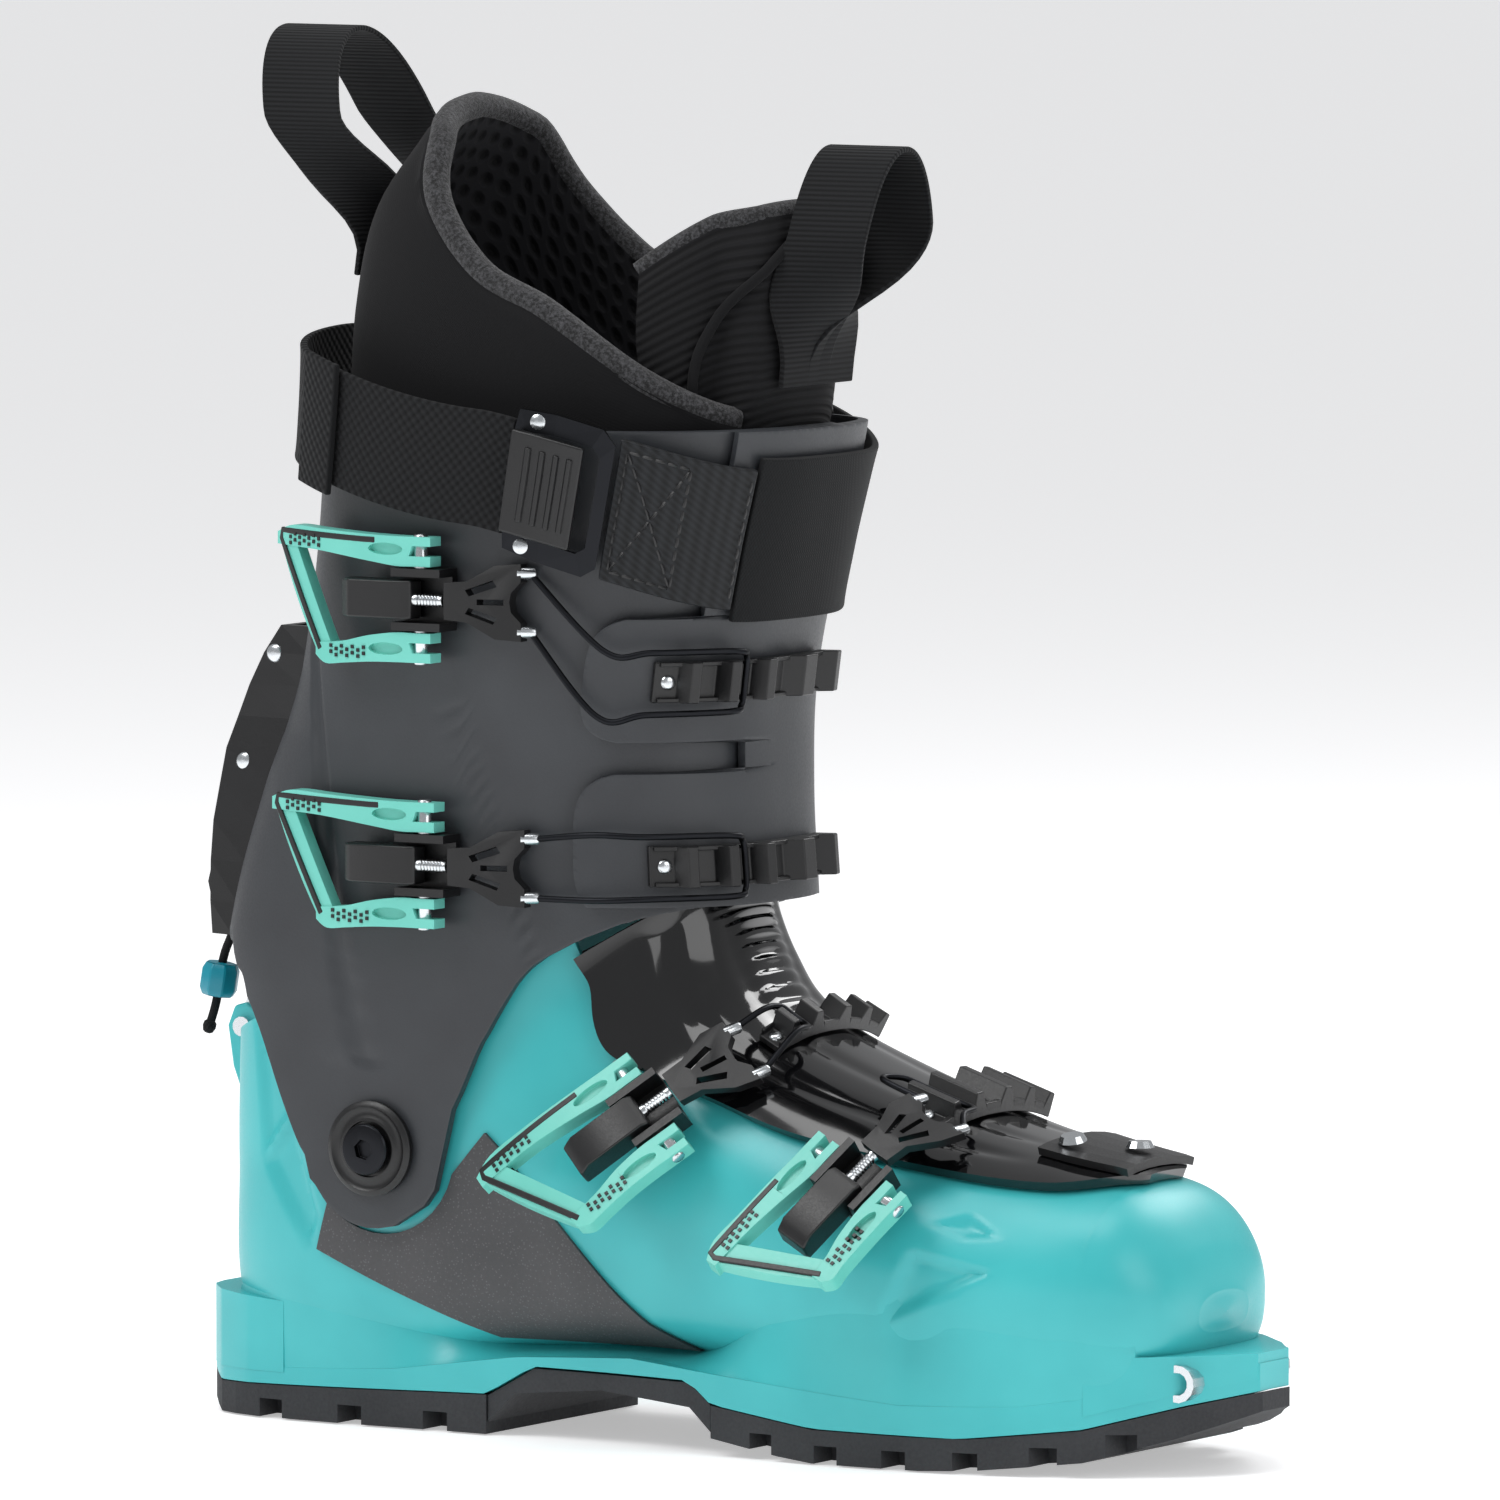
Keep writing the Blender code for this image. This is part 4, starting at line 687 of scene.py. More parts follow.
# %% Tongue
def tongue_relief(section, share):
    """Height of the ribs, from -1 to 1 across the tongue."""
    strength = ease((section - 3.2) / 0.8) * (1 - ease((section - 9.9) / 0.6))
    groove = -(0.9 * math.exp(-((abs(share) - 0.62) / 0.07) ** 2)
               + 0.6 * math.exp(-((abs(share) - 0.22) / 0.06) ** 2))
    step = 0.5 * math.sin(section * math.pi * 5) * math.exp(-(share / 0.16) ** 2) if section > 6.2 else 0
    return strength * (groove + step)


rows = []
for k in range(121):
    s = between(2.12, 10.6, k / 120)
    edge = max(edge_angle(s), math.radians(6)) * (1.0 - 0.08 * ease((s - 8.0) / 2.0))
    rows.append([foot(s, between(-edge, edge, j / 56), 3.3 + tongue_relief(s, 2 * j / 56 - 1)) for j in range(57)])
tongue = thicken(loft("gloss_tongue", rows, gloss_elastomer, "shell"), 2.4)
soften(tongue, 0.7)
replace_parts(tongue, "shell_tongue")
print("tongue with", 57, "columns")

# %% [markdown]
# ## The cuff
# The cuff is one moulded sheet that wraps the leg and laps over itself in front, where it splits into two tabs
# with a slot between them. It carries a pressed crease beside the ankle and a parting line down its side. A notch
# at the back leaves room for the lean bar.

# %% Cuff sheet
CUFF_EDGE = [(-57, 115), (-50, 121), (-45, 113), (-40, 105), (-19.5, 66), (-18, 61), (-14, 55.7), (-8, 51.7),
             (0, 50), (8, 51.7), (14, 55.7), (18, 61), (20, 70), (22, 79.5), (30, 96), (42, 114), (52, 121),
             (65, 127), (80, 131), (95, 132)]
CUFF_TOP, OVERLAP, UNDERLAP, FLAP_RISE = 248.0, math.radians(62), math.radians(8), 3.5
CREASES = [[(-21, 194), (-12.4, 155), (-8.1, 120.8), (-0.4, 91.6)],
           [(-23.9, 191.4), (-17.6, 154.8), (-12.5, 115.7), (-6.2, 91.4)]]
SEAM = [(28.7, 219.3), (23.5, 195.9), (22.9, 181.2), (29.2, 164.3), (35.5, 149.9), (44.9, 118.6)]


def line_distance(line, x, z):
    return min(edge_distance([a, b], x, z) for a, b in zip(line, line[1:]))


def lowest(angle):
    height = 200.0
    while height > 45.0 and height >= smooth_graph(CUFF_EDGE, leg(height, angle).x):
        height -= 0.25
    return height + 0.25


def tab_reach(height):
    for low, high in ((128, 165), (171.5, 203)):
        if low <= height <= high:
            share = abs(2 * (height - low) / (high - low) - 1)
            return OVERLAP * (0.6 + 0.4 * (1 - share ** 4) ** 0.25)
    return OVERLAP * (0.2 if height < 200 else 0.5)


def flap_offset(angle):
    return FLAP_RISE * ease((angle + math.radians(75)) / math.radians(60))


def cuff_relief(p, turned):
    """Creases pressed in on both sides, and a fine parting line on the outer side."""
    depth = 0.0
    if p.z > 88 and abs(p.y) > 30:
        band_x = [graph([(z, x) for x, z in line[::-1]], p.z) for line in CREASES]
        if 91 < p.z < 196 and band_x[1] <= p.x <= band_x[0]:
            depth += 0.7 * ease(min(p.x - band_x[1], band_x[0] - p.x) / 1.6)
        elif 91 < p.z < 196 and p.x < band_x[1]:
            depth -= 0.35 * (1 - ease((band_x[1] - p.x) / 14))
    if p.y < -30 and line_distance(SEAM, p.x, p.z) < 0.9:
        depth += 0.5 * (1 - line_distance(SEAM, p.x, p.z) / 0.9)
    return depth


COLUMNS, LAP, LEVELS = 290, 50, 150
rows = []
for j in range(COLUMNS + LAP + 1):
    base = between(-UNDERLAP, 2 * math.pi, min(j / COLUMNS, 1.0))
    bottom = lowest(math.remainder(base, 2 * math.pi))
    row = []
    for k in range(LEVELS + 1):
        height = between(bottom, CUFF_TOP, k / LEVELS)
        angle = base + tab_reach(height) * max(0.0, (j - COLUMNS) / LAP)
        p = leg(height, angle)
        row.append(leg(height, angle, flap_offset(angle - 2 * math.pi) - cuff_relief(p, angle)))
    rows.append(row)
cuff = thicken(loft("cuff_sheet", rows, grey_polyamide, "cuff"), CUFF_WALL - 0.5)
soften(cuff, 0.8)
bpy.ops.mesh.primitive_cube_add(size=1, location=(-0.060, 0, 0.128))
notch = bpy.context.object
notch.scale = (0.060, 0.026, 0.076)
bpy.ops.object.transform_apply(location=True, rotation=True, scale=True)
carve(cuff, notch)
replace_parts(cuff, "cuff")
print("cuff", len(cuff.data.polygons), "faces")

# %% [markdown]
# ## The ankle joint
# The cuff turns on a bolt at each side. A dark cover disc surrounds the bolt's domed head, which has a hexagon
# socket. All of it is turned on one axis.

# %% Ankle discs and bolts
for side, label in ((-1, "outer"), (1, "inner")):
    disc = turned("cover_disc_" + label, (0, side * 46.5, PIVOT_Z), (0, side, 0),
                  [(0, 11.6), (1.6, 11.8), (2.2, 11.2), (2.4, 10.4), (2.0, 9.9), (1.9, 8.2), (2.3, 7.8), (2.3, 7.0),
                   (1.2, 6.9)], black_nylon, "cuff", 64)
    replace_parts(disc, "ankle_disc_" + label)
    head = turned("domed_head_" + label, (0, side * 38, PIVOT_Z), (0, side, 0),
                  [(0, 4.2), (10.8, 4.2), (11.2, 6.2), (12.2, 6.4), (12.8, 6.0), (13.0, 5.2)], anodised_black,
                  "shell", 48)
    key = turned("key", (0, side * 49.4, PIVOT_Z), (0, side, 0), [(0, 2.6), (4, 2.6)], anodised_black, "shell", 6)
    carve(head, key)
    soften(head, 0.15, 2)
    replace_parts(head, "ankle_bolt_" + label)
print("ankle joint ready")

# %% [markdown]
# ## Buckle places
# Each buckle stands on a curved wall. A small frame of reference follows that wall: u runs back to front along the
# pull, v across it, n out from the boot. Pieces drawn in u, v, n then bend with the boot.


# %% Places on the boot
HINGE_OUT = 6.0                   # the lever's hinge above the wall
ARM_IN, ARM_OUT = 8.1, 15.4       # the lever's arm at the hinge, across the pull
LEVER_LOW, LEVER_HIGH = 3.2, 8.2
SHORT_ARM = 0.68                  # the short arm's length as a share of the long one's
WIRE_RADIUS = 0.8
RACK_LEVEL = 3.6                  # top of the tongue above the shell


class Place:
    def __init__(self, centre, along_u, out_n, droop):
        self.centre = Vector(centre)
        self.u = Vector(along_u).normalized()
        self.v = Vector(out_n).normalized().cross(self.u).normalized()
        self.n = self.u.cross(self.v).normalized()
        self.droop = droop

    def at(self, u, v, n):
        rear, ahead = self.droop
        if u < -8:
            n -= (u + 8) ** 2 * rear
        if u > 6:
            n -= (u - 6) ** 2 * ahead
        return self.centre + u * self.u + v * self.v + n * self.n


def cuff_place(level, droop):
    return Place((19, leg(level, math.radians(91)).y - 0.2, level), (1, 0, 0), (0, -1, 0), (droop, 0.011))


def cuff_rack(level):
    return lambda a, n, v: leg(level + v, math.radians(a), FLAP_RISE + n)


def shell_rack(section):
    return lambda a, n, v: foot(section + v / 26, math.radians(a), RACK_LEVEL + n)


def cuff_loop(level):
    half = [(58, 8.0, 5.5), (46, 7.6, 6.0), (22.7, 7.4, 5.4), (18.5, 6.2, 4.5), (17.7, 3.2, 4.2)]
    return [leg(level + v, math.radians(a), FLAP_RISE + n) for a, v, n in
            half + [(17.7, 0, 4.2)] + [(a, -v, n) for a, v, n in half[::-1]]]


def shell_loop(section, end=12.8):
    half = [(end + 9, 0.33, 6.2), (end + 2, 0.29, 5.0), (end, 0.14, 4.2)]
    return [foot(section + d, math.radians(a), RACK_LEVEL + n) for a, d, n in
            half + [(end, 0, 4.2)] + [(a, -d, n) for a, d, n in half[::-1]]]


BUCKLES = [
    ("upper", cuff_place(206, 0.0066), (-46, 16.6), cuff_rack(187), (44, -14), 0.5, 6.6, cuff_loop(187), "cuff"),
    ("lower", cuff_place(141, 0.0036), (-46, 16.6), cuff_rack(142), (44, -14), 0.5, 6.6, cuff_loop(142), "cuff"),
    ("instep", Place((80, -44.5, 81), (20, 12, 17), (0.15, -0.88, 0.46), (0.004, 0.012)), (-44, 16.6),
     shell_rack(5.9), (26, -26), 0.2, 6.4, shell_loop(5.9), "shell"),
    ("toe", Place((139, -46.5, 67), (9, 12, 14), (0.12, -0.88, 0.50), (0.002, 0.02)), (-38, 16.2),
     shell_rack(4.25), (26, -26), 0.2, 6.4, shell_loop(4.25), "shell")]
print([b[0] for b in BUCKLES])


# %% [markdown]
# ## The levers
# Each lever is a forked mint frame: two arms that meet a bent bar, which is the finger grip. One arm is shorter,
# so the bar runs at a slant. A soft dark inlay runs along the outer edge, and small dots near the corners stop the
# glove slipping. The arms and the bar are drawn one by one and joined, with rounded edges as a die casting has.


# %% Lever, barrel, yoke, cable and rack
def smooth_rows(rows, per=8):
    """The same rows, splined, with per steps between each two."""
    count = len(rows[0])
    table = [[[row[j][axis] for row in rows] for axis in range(3)] for j in range(count)]
    steps = (len(rows) - 1) * per
    return [[Vector([spline(table[j][axis], k / per) for axis in range(3)]) for j in range(count)]
            for k in range(steps + 1)]


def lever(name, place, far, wide, body):
    low, high = LEVER_LOW, LEVER_HIGH
    parts = []
    for sign in (1, -1):
        end = far if sign > 0 else far * SHORT_ARM
        cuts = [(4, ARM_IN, ARM_OUT), (-1, ARM_IN, ARM_OUT), (-6, ARM_IN, ARM_OUT), (-14, ARM_IN + 1, ARM_OUT + 0.2),
                (between(-14, end, 0.45), wide - 5.8, wide - 0.4), (between(-14, end, 0.8), wide - 5.2, wide),
                (end, wide - 5, wide - 2)]
        rows = smooth_rows([[Vector((u, sign * a, low)), Vector((u, sign * b, low)), Vector((u, sign * b, high)),
                             Vector((u, sign * a, high))] for u, a, b in cuts], 5)
        parts.append([[place.at(*p) for p in row] for row in rows])
    bar = []
    for k in range(17):
        sign = between(1, -1, k / 16)
        start = between(far, far * SHORT_ARM, k / 16)
        bow = 0.8 * (1 - sign * sign)
        bar.append([place.at(u, sign * (wide - 2.6), n) for u, n in (
            (start + 0.4 - bow, low + 0.4), (start + 6.4, low + 0.4), (start + 6.4, high - 0.4),
            (start + 0.4 - bow, high - 0.4))])
    frame_piece = loft(name, parts[0], mint_powder_coat, body, ring=True, caps=True)
    for other in (parts[1], bar):
        extra = loft("arm", other, mint_powder_coat, body, ring=True, caps=True)
        carve(frame_piece, extra, "UNION")
    for sign in (1, -1):
        # the oval slot that lightens each arm, between the pivot and the grip
        middle_v = sign * 12.2
        outline = [(-9 + 5 * math.cos(t), middle_v + 1.5 * math.sin(t)) for t in
                   (2 * math.pi * k / 24 for k in range(24))]
        slot_cut = loft("slot", [[place.at(u, v, n) for u, v in outline] for n in (high - 1.4, high + 3)],
                        mint_powder_coat, body, ring=True, caps=True)
        carve(frame_piece, slot_cut)
        # the pivot end is a fork: a gap between two prongs, through which the pin shows
        outline = [(-2.2, sign * 10.6), (-1.2, sign * 13.1), (6, sign * 13.1), (6, sign * 10.6)]
        gap_cut = loft("gap", [[place.at(u, v, n) for u, v in outline] for n in (low - 2, high + 3)],
                       mint_powder_coat, body, ring=True, caps=True)
        carve(frame_piece, gap_cut)
    soften(frame_piece, 0.8, 4, 30)
    return frame_piece


def inlay(name, place, far, wide, body):
    """A soft strip along the outer edge of the long arm and the bar."""
    points = [(u, graph([(-46, wide - 1.4), (-14, 14.3)], u))
              for u in (between(-12, far + 2, k / 10) for k in range(11))]
    points += [(between(far, far * SHORT_ARM, k / 8) + 1.6, between(1, -1, k / 8) * (wide - 3.4))
               for k in range(9)]
    rows = []
    for i, (u, v) in enumerate(points):
        a, b = points[max(i - 1, 0)], points[min(i + 1, len(points) - 1)]
        run = Vector((b[0] - a[0], b[1] - a[1])).normalized()
        across = Vector((-run.y, run.x)) * 0.75
        rows.append([place.at(u - across.x, v - across.y, 7.2), place.at(u + across.x, v + across.y, 7.2),
                     place.at(u + across.x, v + across.y, 8.35), place.at(u - across.x, v - across.y, 8.35)])
    return soften(loft(name, rows, black_nylon, body, ring=True, caps=True), 0.25, 2)


SQUARE = ((-1, -1), (1, -1), (1, 1), (-1, 1))


def grip_dots(name, place, far, wide, body):
    """Small raised dots in a checker near the two corners of the grip."""
    points, faces = [], []
    for sign in (1, -1):
        tip = far if sign > 0 else far * SHORT_ARM
        for i in range(7):
            for j in range(2):
                u, v = tip + 5.4 + 1.75 * i, sign * (wide - 3.3 + 1.5 * (j - 0.5) + 0.75 * (i % 2) - 0.4)
                base = len(points)
                for n, half in ((7.6, 0.52), (8.5, 0.42)):
                    points += [place.at(u + a * half, v + b * half, n) for a, b in SQUARE]
                faces += [[base + c for c in face] for face in
                          ((4, 5, 6, 7), (0, 1, 5, 4), (1, 2, 6, 5), (2, 3, 7, 6), (3, 0, 4, 7), (3, 2, 1, 0))]
    return piece_from(name, points, faces, black_nylon, body)


def yoke(name, place, body):
    near, end = 8.0, 27.0
    outline = [(near, -4.5), (near + 6, -5), (end - 6, -9), (end, -9.5), (end, -5), (end - 2.2, -2.4), (end - 2.6, 0),
               (end - 2.2, 2.4), (end, 5), (end, 9.5), (end - 6, 9), (near + 6, 5), (near, 4.5), (near - 0.2, 0)]
    plate = loft(name, [[place.at(u, v, n) for u, v in outline] for n in (5.4, 8.4)], black_nylon, body, ring=True,
                 caps=True)
    slots = [[(13.6, -2.9), (20.4, -5.4), (21.4, -3.8), (14.6, -1.4)], [(13.6, 2.9), (20.4, 5.4), (21.4, 3.8),
                                                                     (14.6, 1.4)], [(16.5, -0.7), (23, -0.7),
                                                                                    (23, 0.7), (16.5, 0.7)]]
    for outline in slots:
        slit = loft("slit", [[place.at(u, v, n) for u, v in outline] for n in (4, 10)], black_nylon, body, ring=True,
                    caps=True)
        carve(plate, slit)
    return soften(plate, 0.5, 3)


def rack(name, point, spread, low, high, body, teeth=5):
    """A ladder of saw teeth on a thin rail, with side walls along its gaps and a rivet near its first end."""
    first, last = spread
    top = [(first, low + 1.8)]
    for k in range(teeth):
        for share, n in ((0.12, low + 1.8), (0.55, low + 1.8), (0.75, high), (0.98, high)):
            top.append((between(first, last, (k + share) / teeth), n))
    top.append((last, low + 1.8))
    bottom = [(between(first, last, k / 24), low) for k in range(25)]
    rows = [[point(a, n, v) for a, n in bottom + top[::-1]] for v in (-5, 5)]
    rail = soften(loft(name, rows, black_nylon, body, ring=True, caps=True), 0.35, 2)
    for k in range(teeth):
        # a narrow side wall along each gap, so that the rack reads as a ladder
        a, b = between(first, last, (k + 0.1) / teeth), between(first, last, (k + 0.8) / teeth)
        for v in (-4.4, 4.4):
            wall = [[point(x, low + n, v + w) for n, w in ((1, -0.6), (1, 0.6), (3, 0.5), (3, -0.5))]
                    for x in (a, between(a, b, 0.5), b)]
            soften(loft(name + f"_side_{k}_{'a' if v < 0 else 'b'}", wall, black_nylon, body, ring=True, caps=True),
                   0.2, 2)
    start = point(between(first, last, 0.07), low + 1.7, 0)
    out = (point(between(first, last, 0.07), low + 6, 0) - start).normalized()
    turned(name + "_rivet", start, out, [(0, 1.9), (0.5, 1.8), (0.9, 1.2), (1.0, 0.5)], turned_steel, body, 24)
    return rail


for label, place, (far, wide), point, spread, low, high, loop_points, holder in BUCKLES:
    arm, link = f"{label}_buckle_lever", f"{label}_buckle_link"
    frame_lever = lever(f"{label}_grip_frame", place, far, wide, arm)
    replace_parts(frame_lever, f"{label}_buckle_lever")
    inlay(f"{label}_inlay", place, far, wide, arm)
    grip_dots(f"{label}_grip_dots", place, far, wide, arm)
    for sign in (-1, 1):
        turned(f"{label}_pivot_pin_{'low' if sign < 0 else 'high'}", place.centre + HINGE_OUT * place.n
               + sign * 7.7 * place.v, sign * place.v, [(0, 1.7), (8.0, 1.7), (8.3, 1.4)], turned_steel, arm, 24)
    block = prism(f"{label}_barrel_block", [(-22, 3.2), (-3, 3.2), (-1, 4.2), (-1, 9.2), (-3, 10.4), (-19, 10.4),
                                            (-22, 8.5)], lambda u, n, v, p=place: p.at(u, v, n), -4.7, 4.7,
                  black_nylon, link, 0.6)
    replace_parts(block, f"{label}_buckle_barrel")
    stem_axis = place.at(7.4, 0, 7.2) - place.at(-1.5, 0, 7.2)
    turned(f"{label}_screw_stem", place.at(-1.5, 0, 7.2), stem_axis, [(0, 1.6), (stem_axis.length * 0.15, 1.6)]
           + [(stem_axis.length * (0.2 + 0.05 * k), 1.6 if k % 2 else 1.38) for k in range(15)]
           + [(stem_axis.length, 1.55)], turned_steel, link, 24)
    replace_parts(yoke(f"{label}_yoke_plate", place, link), f"{label}_buckle_yoke")
    ends = [place.at(28.4, 7.2, 6.9), place.at(28.4, -7.2, 6.9)]
    wire = tube(f"{label}_wire", [ends[0]] + loop_points + [ends[1]], WIRE_RADIUS, coated_wire, link)
    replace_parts(wire, f"{label}_buckle_cable")
    for number, v in enumerate((7.2, -7.2)):
        back = place.at(25.6, v, 6.9)
        turned(f"{label}_ferrule_{number + 1}", back, place.at(30, v, 6.9) - back,
               [(0, 1.5), (4.2, 1.5), (4.6, 1.2)], turned_steel, link, 20)
    ladder = rack(f"{label}_ladder", point, spread, low, high, holder)
    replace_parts(ladder, f"{label}_buckle_rack")
print("four buckles")

# %% [markdown]
# ## Hardware kept from the model
# Brackets, the spine housing, the walk lever, the lean bar, screws, inserts and treads already have their final
# shape. They get rounded edges and finishes. Four rivets hold the spine
# housing to the cuff.

# %% Finishes for kept nodes
KEPT = {"spine_housing": (black_nylon, 1.4), "walk_lever": (black_nylon, 0.8), "lean_bar": (turned_steel, 0.6),
        "cam_frame": (anodised_black, 0.6), "tongue_hinge_plate": (black_nylon, 0.6),
        "hinge_screw_1": (turned_steel, 0.3), "hinge_screw_2": (turned_steel, 0.3), "toe_insert": (turned_steel, 0.4),
        "heel_insert": (turned_steel, 0.4), "heel_pin": (turned_steel, 0.4), "outsole_heel": (lug_rubber, 0.9),
        "outsole_toe": (lug_rubber, 0.9), "outsole_waist": (lug_rubber, 0.8)}
KEPT.update({f"{b[0]}_buckle_bracket": (black_nylon, 0.4) for b in BUCKLES})
for node, (finish, width) in KEPT.items():
    piece = bpy.data.objects[node]
    piece.data.materials.clear()
    piece.data.materials.append(finish)
    if node == "spine_housing":
        piece.data.polygons.foreach_set("use_smooth", [True] * len(piece.data.polygons))
    soften(piece, width, 3, 30)
for number, (x, z) in enumerate(((-48.9, 187.9), (-57.5, 160.8), (-56.4, 130.2), (-52.3, 114.2))):
    y = leg(z, math.pi - 0.30, 0.3).y
    turned(f"spine_rivet_{number + 1}", (x + 2.5, 2.5 - abs(y), z), (0, -1, 0),
           [(0, 2.4), (1.1, 2.3), (1.6, 1.6), (1.7, 0.4)],
           turned_steel, "cuff", 24)
print(len(KEPT), "nodes kept")

# %% [markdown]
# ## The power strap
# A strap goes round the top of the cuff. Behind it is basket-weave webbing, in front a broad woven elastic, and a
# leatherette tab joins the elastic to a cam lock. Straps are cut flat and bend only round the leg, so they are
# drawn as bands with rounded, slightly thicker edges.


# %% Strap
def strap_level(angle):
    turned_by = abs(math.degrees(math.remainder(math.radians(angle), 2 * math.pi)))
    return smooth_graph([(0, 221), (30, 222), (60, 229), (90, 239), (130, 249), (180, 255)], turned_by)


def band(name, angles, height, low, high, finish, columns=90, across=20, swell=0.0):
    rows = []
    for j in range(columns + 1):
        a = between(angles[0], angles[1], j / columns)
        row = []
        for k in range(across + 1):
            share = 2 * k / across - 1
            lift = swell * abs(share) ** 6
            row.append(leg(strap_level(a) + height * share / 2, math.radians(a), high - swell + lift))
        rows.append(row)
    strap = thicken(loft(name, rows, finish, "cuff"), high - low - swell)
    return soften(strap, 0.5)


STRAP_LOW, STRAP_HIGH = 4.5, 6.7
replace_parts(band("back_webbing", (84, 250), 28, STRAP_LOW, STRAP_HIGH, basket_webbing, 160, swell=0.3),
            "strap_webbing")
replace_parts(band("webbing_keeper", (118, 132), 32, 7.1, 8.9, basket_webbing, 24), "strap_keeper")
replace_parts(band("front_elastic", (24, -109), 40, STRAP_LOW, STRAP_HIGH, ribbed_elastic, 130, swell=0.35),
            "strap_band")
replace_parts(band("leatherette_tab", (62, 25), 34.4, STRAP_LOW, STRAP_HIGH, twill_leatherette, 50), "strap_tab")


def ring_at(a, v, n):
    """A point at an angle round the leg in degrees, across the strap and out from it."""
    return leg(strap_level(a) + v, math.radians(a), STRAP_LOW + n)


# a lockstitched outline and a cross: each stitch is a short raised thread 2.6 mm long
stitches = []
for a0, v0, a1, v1 in ((60, -14.6, 44, -14.6), (60, 14.6, 44, 14.6), (60, -14.6, 60, 14.6), (44, -14.6, 44, 14.6),
                       (60, -14.6, 44, 14.6), (60, 14.6, 44, -14.6), (26.5, -14.6, 26.5, 14.6)):
    a_point, b_point = ring_at(a0, v0, 2.2), ring_at(a1, v1, 2.2)
    count = max(2, round((b_point - a_point).length / 3.4))
    for k in range(count):
        s0, s1 = (k + 0.12) / count, (k + 0.88) / count
        stitches.append([ring_at(between(a0, a1, s), between(v0, v1, s), n) for s, n in
                         ((s0, 2.1), (between(s0, s1, 0.5), 2.45), (s1, 2.1))])
thread_points, thread_faces = [], []
for line in stitches:
    run = (line[2] - line[0]).normalized()
    out = (ring_at(50, 0, 9) - ring_at(50, 0, 0)).normalized()
    side = run.cross(out).normalized()
    base = len(thread_points)
    for p in line:
        thread_points += [p - side * 0.38, p + out * 0.3, p + side * 0.38, p - out * 0.3]
    for i in (0, 4):
        thread_faces += [[base + i + c, base + i + (c + 1) % 4, base + i + 4 + (c + 1) % 4, base + i + 4 + c]
                         for c in range(4)]
    thread_faces += [[base, base + 1, base + 2, base + 3], [base + 11, base + 10, base + 9, base + 8]]
piece_from("tab_stitching", thread_points, thread_faces, black_nylon, "cuff")
print(len(stitches), "stitches")

# %% [markdown]
# ## The cam lock
# The cam's door swings up to free the webbing. Four raised ridges give the thumb a hold.

# %% Cam door
top_line = [(83, 8.2), (79, 7.8), (74, 7.0), (69.5, 6.0)]
under_line = [(69.5, 4.0), (74, 4.0), (79, 4.2), (83, 4.6)]
profile = [(a, smooth_graph(top_line[::-1], a)) for a in (between(83, 69.5, k / 24) for k in range(25))]
door = prism("cam_door", profile + under_line, lambda a, n, v: ring_at(a, v, n), -12.5, 12.5, black_nylon,
             "cam_lever", 0.6)
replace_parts(door, "cam_lever")
for k in range(4):
    a = 72 + 2.6 * k
    n = graph(top_line[::-1], a)
    ridge = [[ring_at(a + d, v, n + h) for d, h in ((-0.75, -0.3), (-0.35, 0.55), (0.35, 0.55), (0.75, -0.3))]
             for v in (-9, -3, 3, 9)]
    soften(loft(f"cam_ridge_{k + 1}", ridge, black_nylon, "cam_lever", ring=True, caps=True), 0.2, 2)
for number, v in enumerate((-15.2, 15.2)):
    start = ring_at(79.5, v, 3.4)
    turned(f"cam_rivet_{number + 1}", start, ring_at(79.5, v, 9) - start,
           [(0, 1.9), (0.5, 1.9), (0.9, 1.3), (1.0, 0.4)],
           turned_steel, "cuff", 24)
print("cam lock ready")

# %% [markdown]
# ## The inner boot
# The inner boot is foam laminated between a smooth knit outside and a dimpled lining inside. Its leg is a padded
# wall that is rounded at the collar, under a brushed piping. It is drawn as two skins, the knit outside and the
# lining inside, that roll over and meet under the piping. A slow wave in each stands for the foam between seams.

# %% Inner boot
SKIN, WALL, ROOM = 5.0, 7.0, 5.8


def top_of(angle):
    turned_by = math.degrees(abs(math.remainder(angle, 2 * math.pi)))
    return smooth_graph([(0, 250), (30, 252), (60, 262), (90, 281), (115, 302), (140, 318), (180, 325)], turned_by)


def bottom_of(angle):
    x = leg(160, angle, -ROOM).x
    return max(PIVOT_Z + math.sqrt(max(71.5 ** 2 - x * x, 0)), PIVOT_Z + x * math.tan(math.radians(54)), 122)


def pillow(height, angle, top):
    """Soft swelling of the foam between its seams, near the collar."""
    return 0.5 * math.sin(angle * 5) * ease((height - top + 60) / 40)


outside, lining, piping = [], [], []
for j in range(161):
    angle = between(math.radians(24), math.radians(336), j / 160)
    low, top = bottom_of(angle), top_of(angle)
    outside.append([leg(between(low, top - 3.5, k / 60), angle,
                        -SKIN - 0.4 + pillow(between(low, top, k / 60), angle, top)) for k in range(61)]
                   + [leg(top - 3.5 + 3.5 * math.sin(t), angle, -SKIN - 3.5 + 3.1 * math.cos(t))
                                           for t in (math.pi * k / 16 for k in range(1, 9))])
    lining.append([leg(top - 3.5 + 3.5 * math.sin(t), angle, -SKIN - 3.5 - 3.4 * math.cos(t))
                   for t in (math.pi * k / 16 for k in range(8, -1, -1))]
                  + [leg(between(top - 3.5, low, k / 60), angle, -SKIN - WALL - 0.3 * math.sin(angle * 5))
                     for k in range(1, 61)])
    piping.append(leg(top - 1.2, angle, -SKIN - 3.5))
liner_out = loft("liner_outside", outside, knit_face, "cuff")
loft("liner_inside", lining, dimpled_lining, "cuff")
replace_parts(liner_out, "liner_leg")
tube("collar_piping", piping[::4], 3.4, brushed_pile, "cuff", step=2.0)


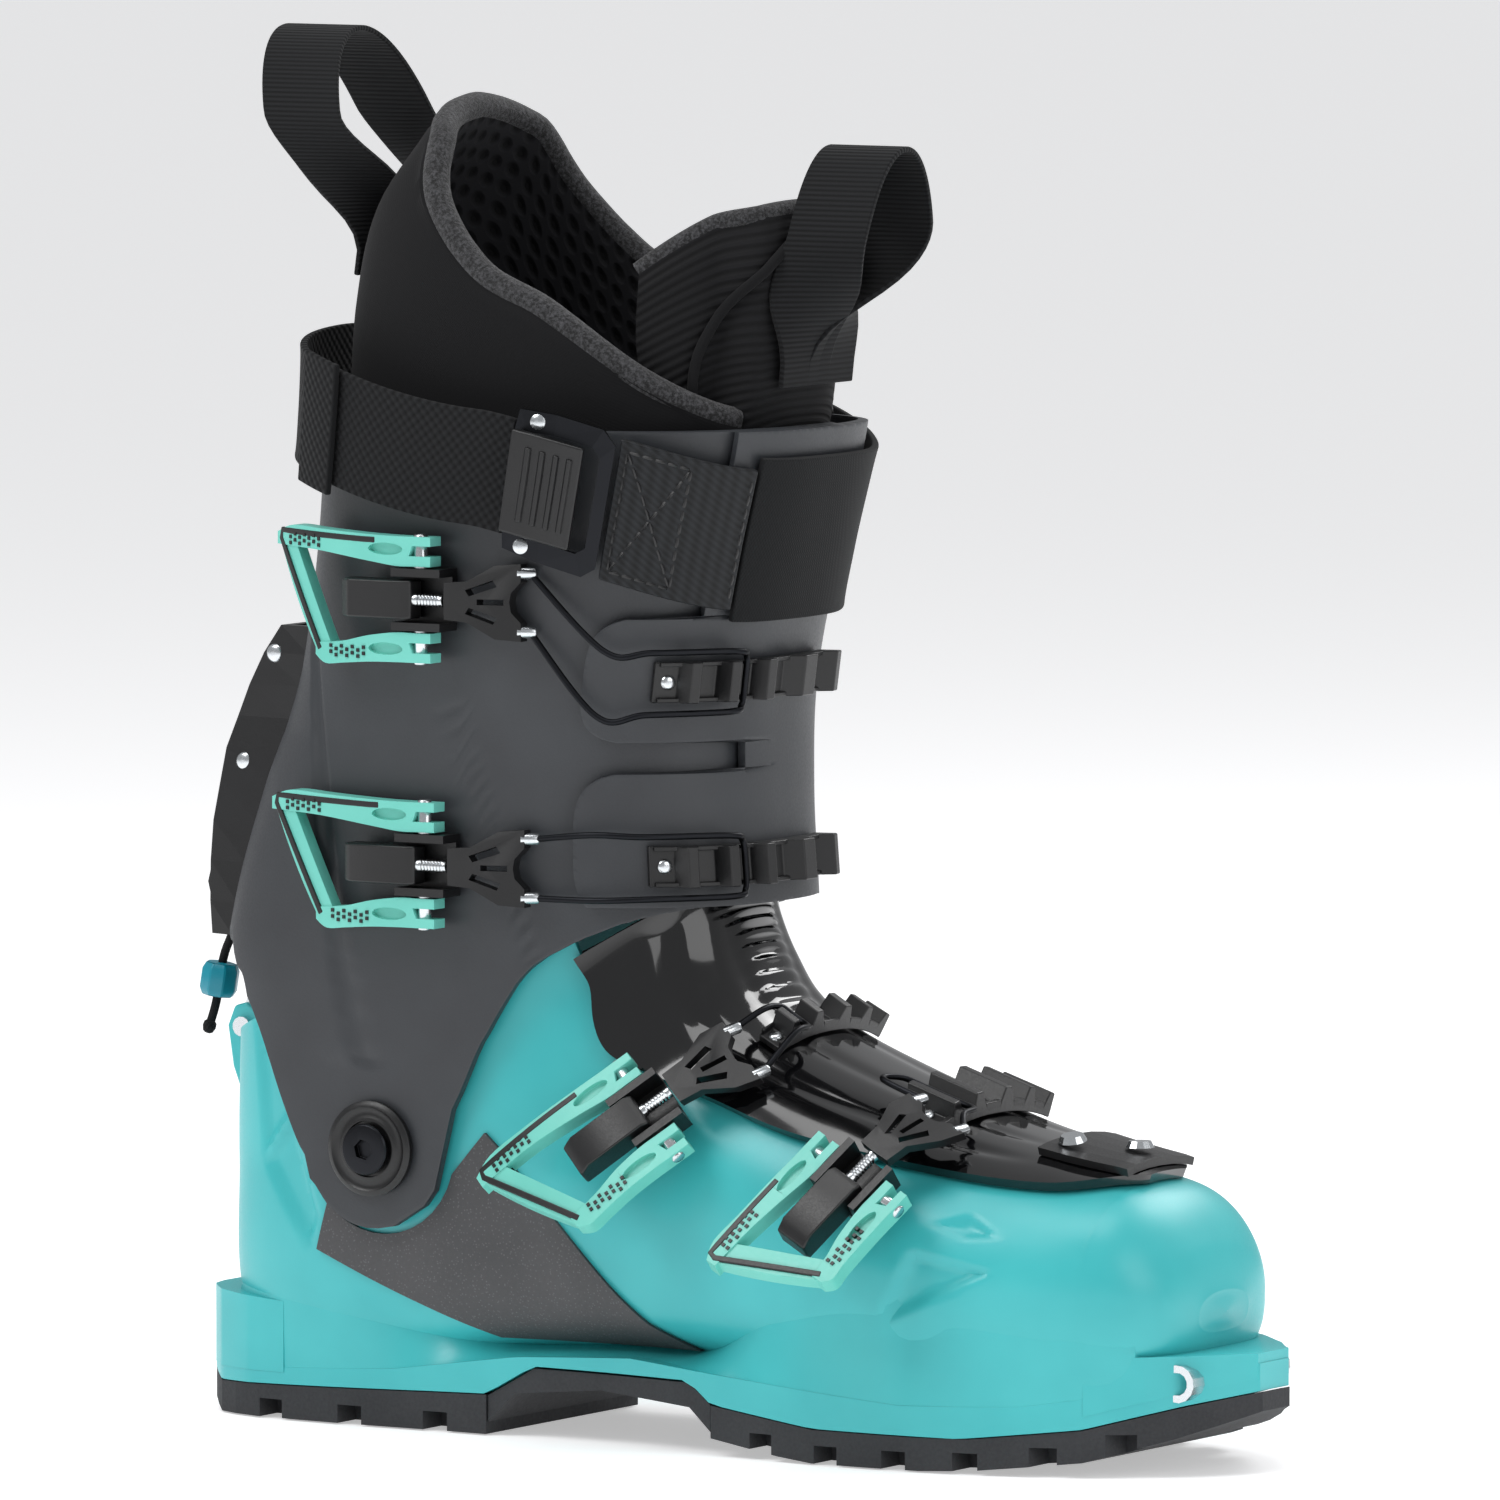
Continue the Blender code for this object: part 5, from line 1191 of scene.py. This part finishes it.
def tongue_at(share, side, deeper=0.0):
    """The inner boot's tongue: narrow below, and wide enough above to tuck inside the collar on both sides."""
    spread = smooth_graph([(178, 18), (236, 19), (256, 40), (272, 58), (301, 62)], between(178, 301, share))
    z = between(178, 301 - 15 * abs(side) ** 2.4, share)
    tuck = ease((spread * abs(side) - 20) / 14)
    return leg(z, math.radians(-spread * side), -SKIN - 0.3 - 7.6 * tuck - 1.4 * ease((share - 0.95) / 0.05) - deeper)


rows = [[tongue_at(k / 70, 2 * j / 50 - 1) for j in range(51)] for k in range(71)]
liner_tongue = thicken(loft("ribbed_tongue_front", rows, ribbed_knit, "cuff"), 5.6)
soften(liner_tongue, 2.0, 5)
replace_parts(liner_tongue, "liner_tongue")
edge_line = [tongue_at(1.0, between(-1, 1, k / 30), 2.0) for k in range(31)]
tube("tongue_piping", edge_line, 2.4, brushed_pile, "cuff", step=2.0)
arc_line = [tongue_at(0.97 - 0.32 * abs(k / 15 - 1) ** 1.5, 0.9 * (k / 15 - 1), -1.4) for k in range(31)]
tube("tongue_binding", arc_line, 1.3, knit_face, "cuff", step=2.0)
rows = []
for k in range(101):
    s = between(1.25, 11.55, k / 100)
    gap = max(0.0, edge_angle(s) - math.radians(2)) if s > 4.4 else 0.0
    rows.append([foot(s, between(gap, 2 * math.pi - gap, j / 60), -ROOM - 0.1) for j in range(61)])
liner_foot = thicken(loft("liner_sock", rows, knit_face, "shell"), 6.6)
soften(liner_foot, 2.0, 4)
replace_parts(liner_foot, "liner_foot")
under = 14.3
rows = [[foot(2.5 + 6.5 * k / 60, math.radians(between(140, 220, j / 30)), -under - 3.0) for j in range(31)]
        for k in range(61)]
bed = thicken(loft("felt_footbed", rows, brushed_pile, "shell"), 3.0, 1)
soften(bed, 0.8)
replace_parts(bed, "footbed")
print("inner boot ready")

# %% [markdown]
# ## The pull loops
# Two loops of grosgrain tape, one sewn behind the collar and one to the tongue. Tape bends in one direction only,
# so each loop is a flat band. Its ends come together and turn flat against the padding, where they are sewn.

# %% Pull loops
for node, base, peak, lean, half in (("pull_loop_rear", (-29.0, 3, 296), 46, -0.34, 26),
                                     ("pull_loop_front", (108.0, 2, 272), 44, 0.10, 19)):
    spine, widths = [], []
    for k in range(65):
        t = k / 64
        height = -14 + (peak + 14) * math.sin(math.pi * t) ** 0.75
        free, c = ease((height + 10) / 36), -math.cos(math.pi * t)
        sewn = leg(base[2] + height, math.pi if lean < 0 else 0, -4.2).x
        spine.append(Vector((between(sewn, base[0] + lean * height, free), base[1] + half * c * (0.3 + 0.7 * free),
                             base[2] + height)))
        widths.append(Vector((free, -c * (1 - free), 0)).normalized() * 11)
    rows = []
    for k, middle in enumerate(spine):
        ahead = (spine[min(k + 1, 64)] - spine[max(k - 1, 0)]).normalized()
        out = widths[k].cross(ahead).normalized() * 0.7
        rows.append([middle + widths[k] * (2 * j / 16 - 1) + out for j in range(17)])
    tape = thicken(loft(node + "_tape", rows, grosgrain, "cuff"), 1.4)
    soften(tape, 0.4, 2)
    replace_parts(tape, node)
print("pull loops ready")

# %% [markdown]
# ## Soft pieces
# The foam pieces are not declared as padded here. The straps and loops are webbing and are not padded.

# %% Soft pieces
print("no pieces declared as padded")
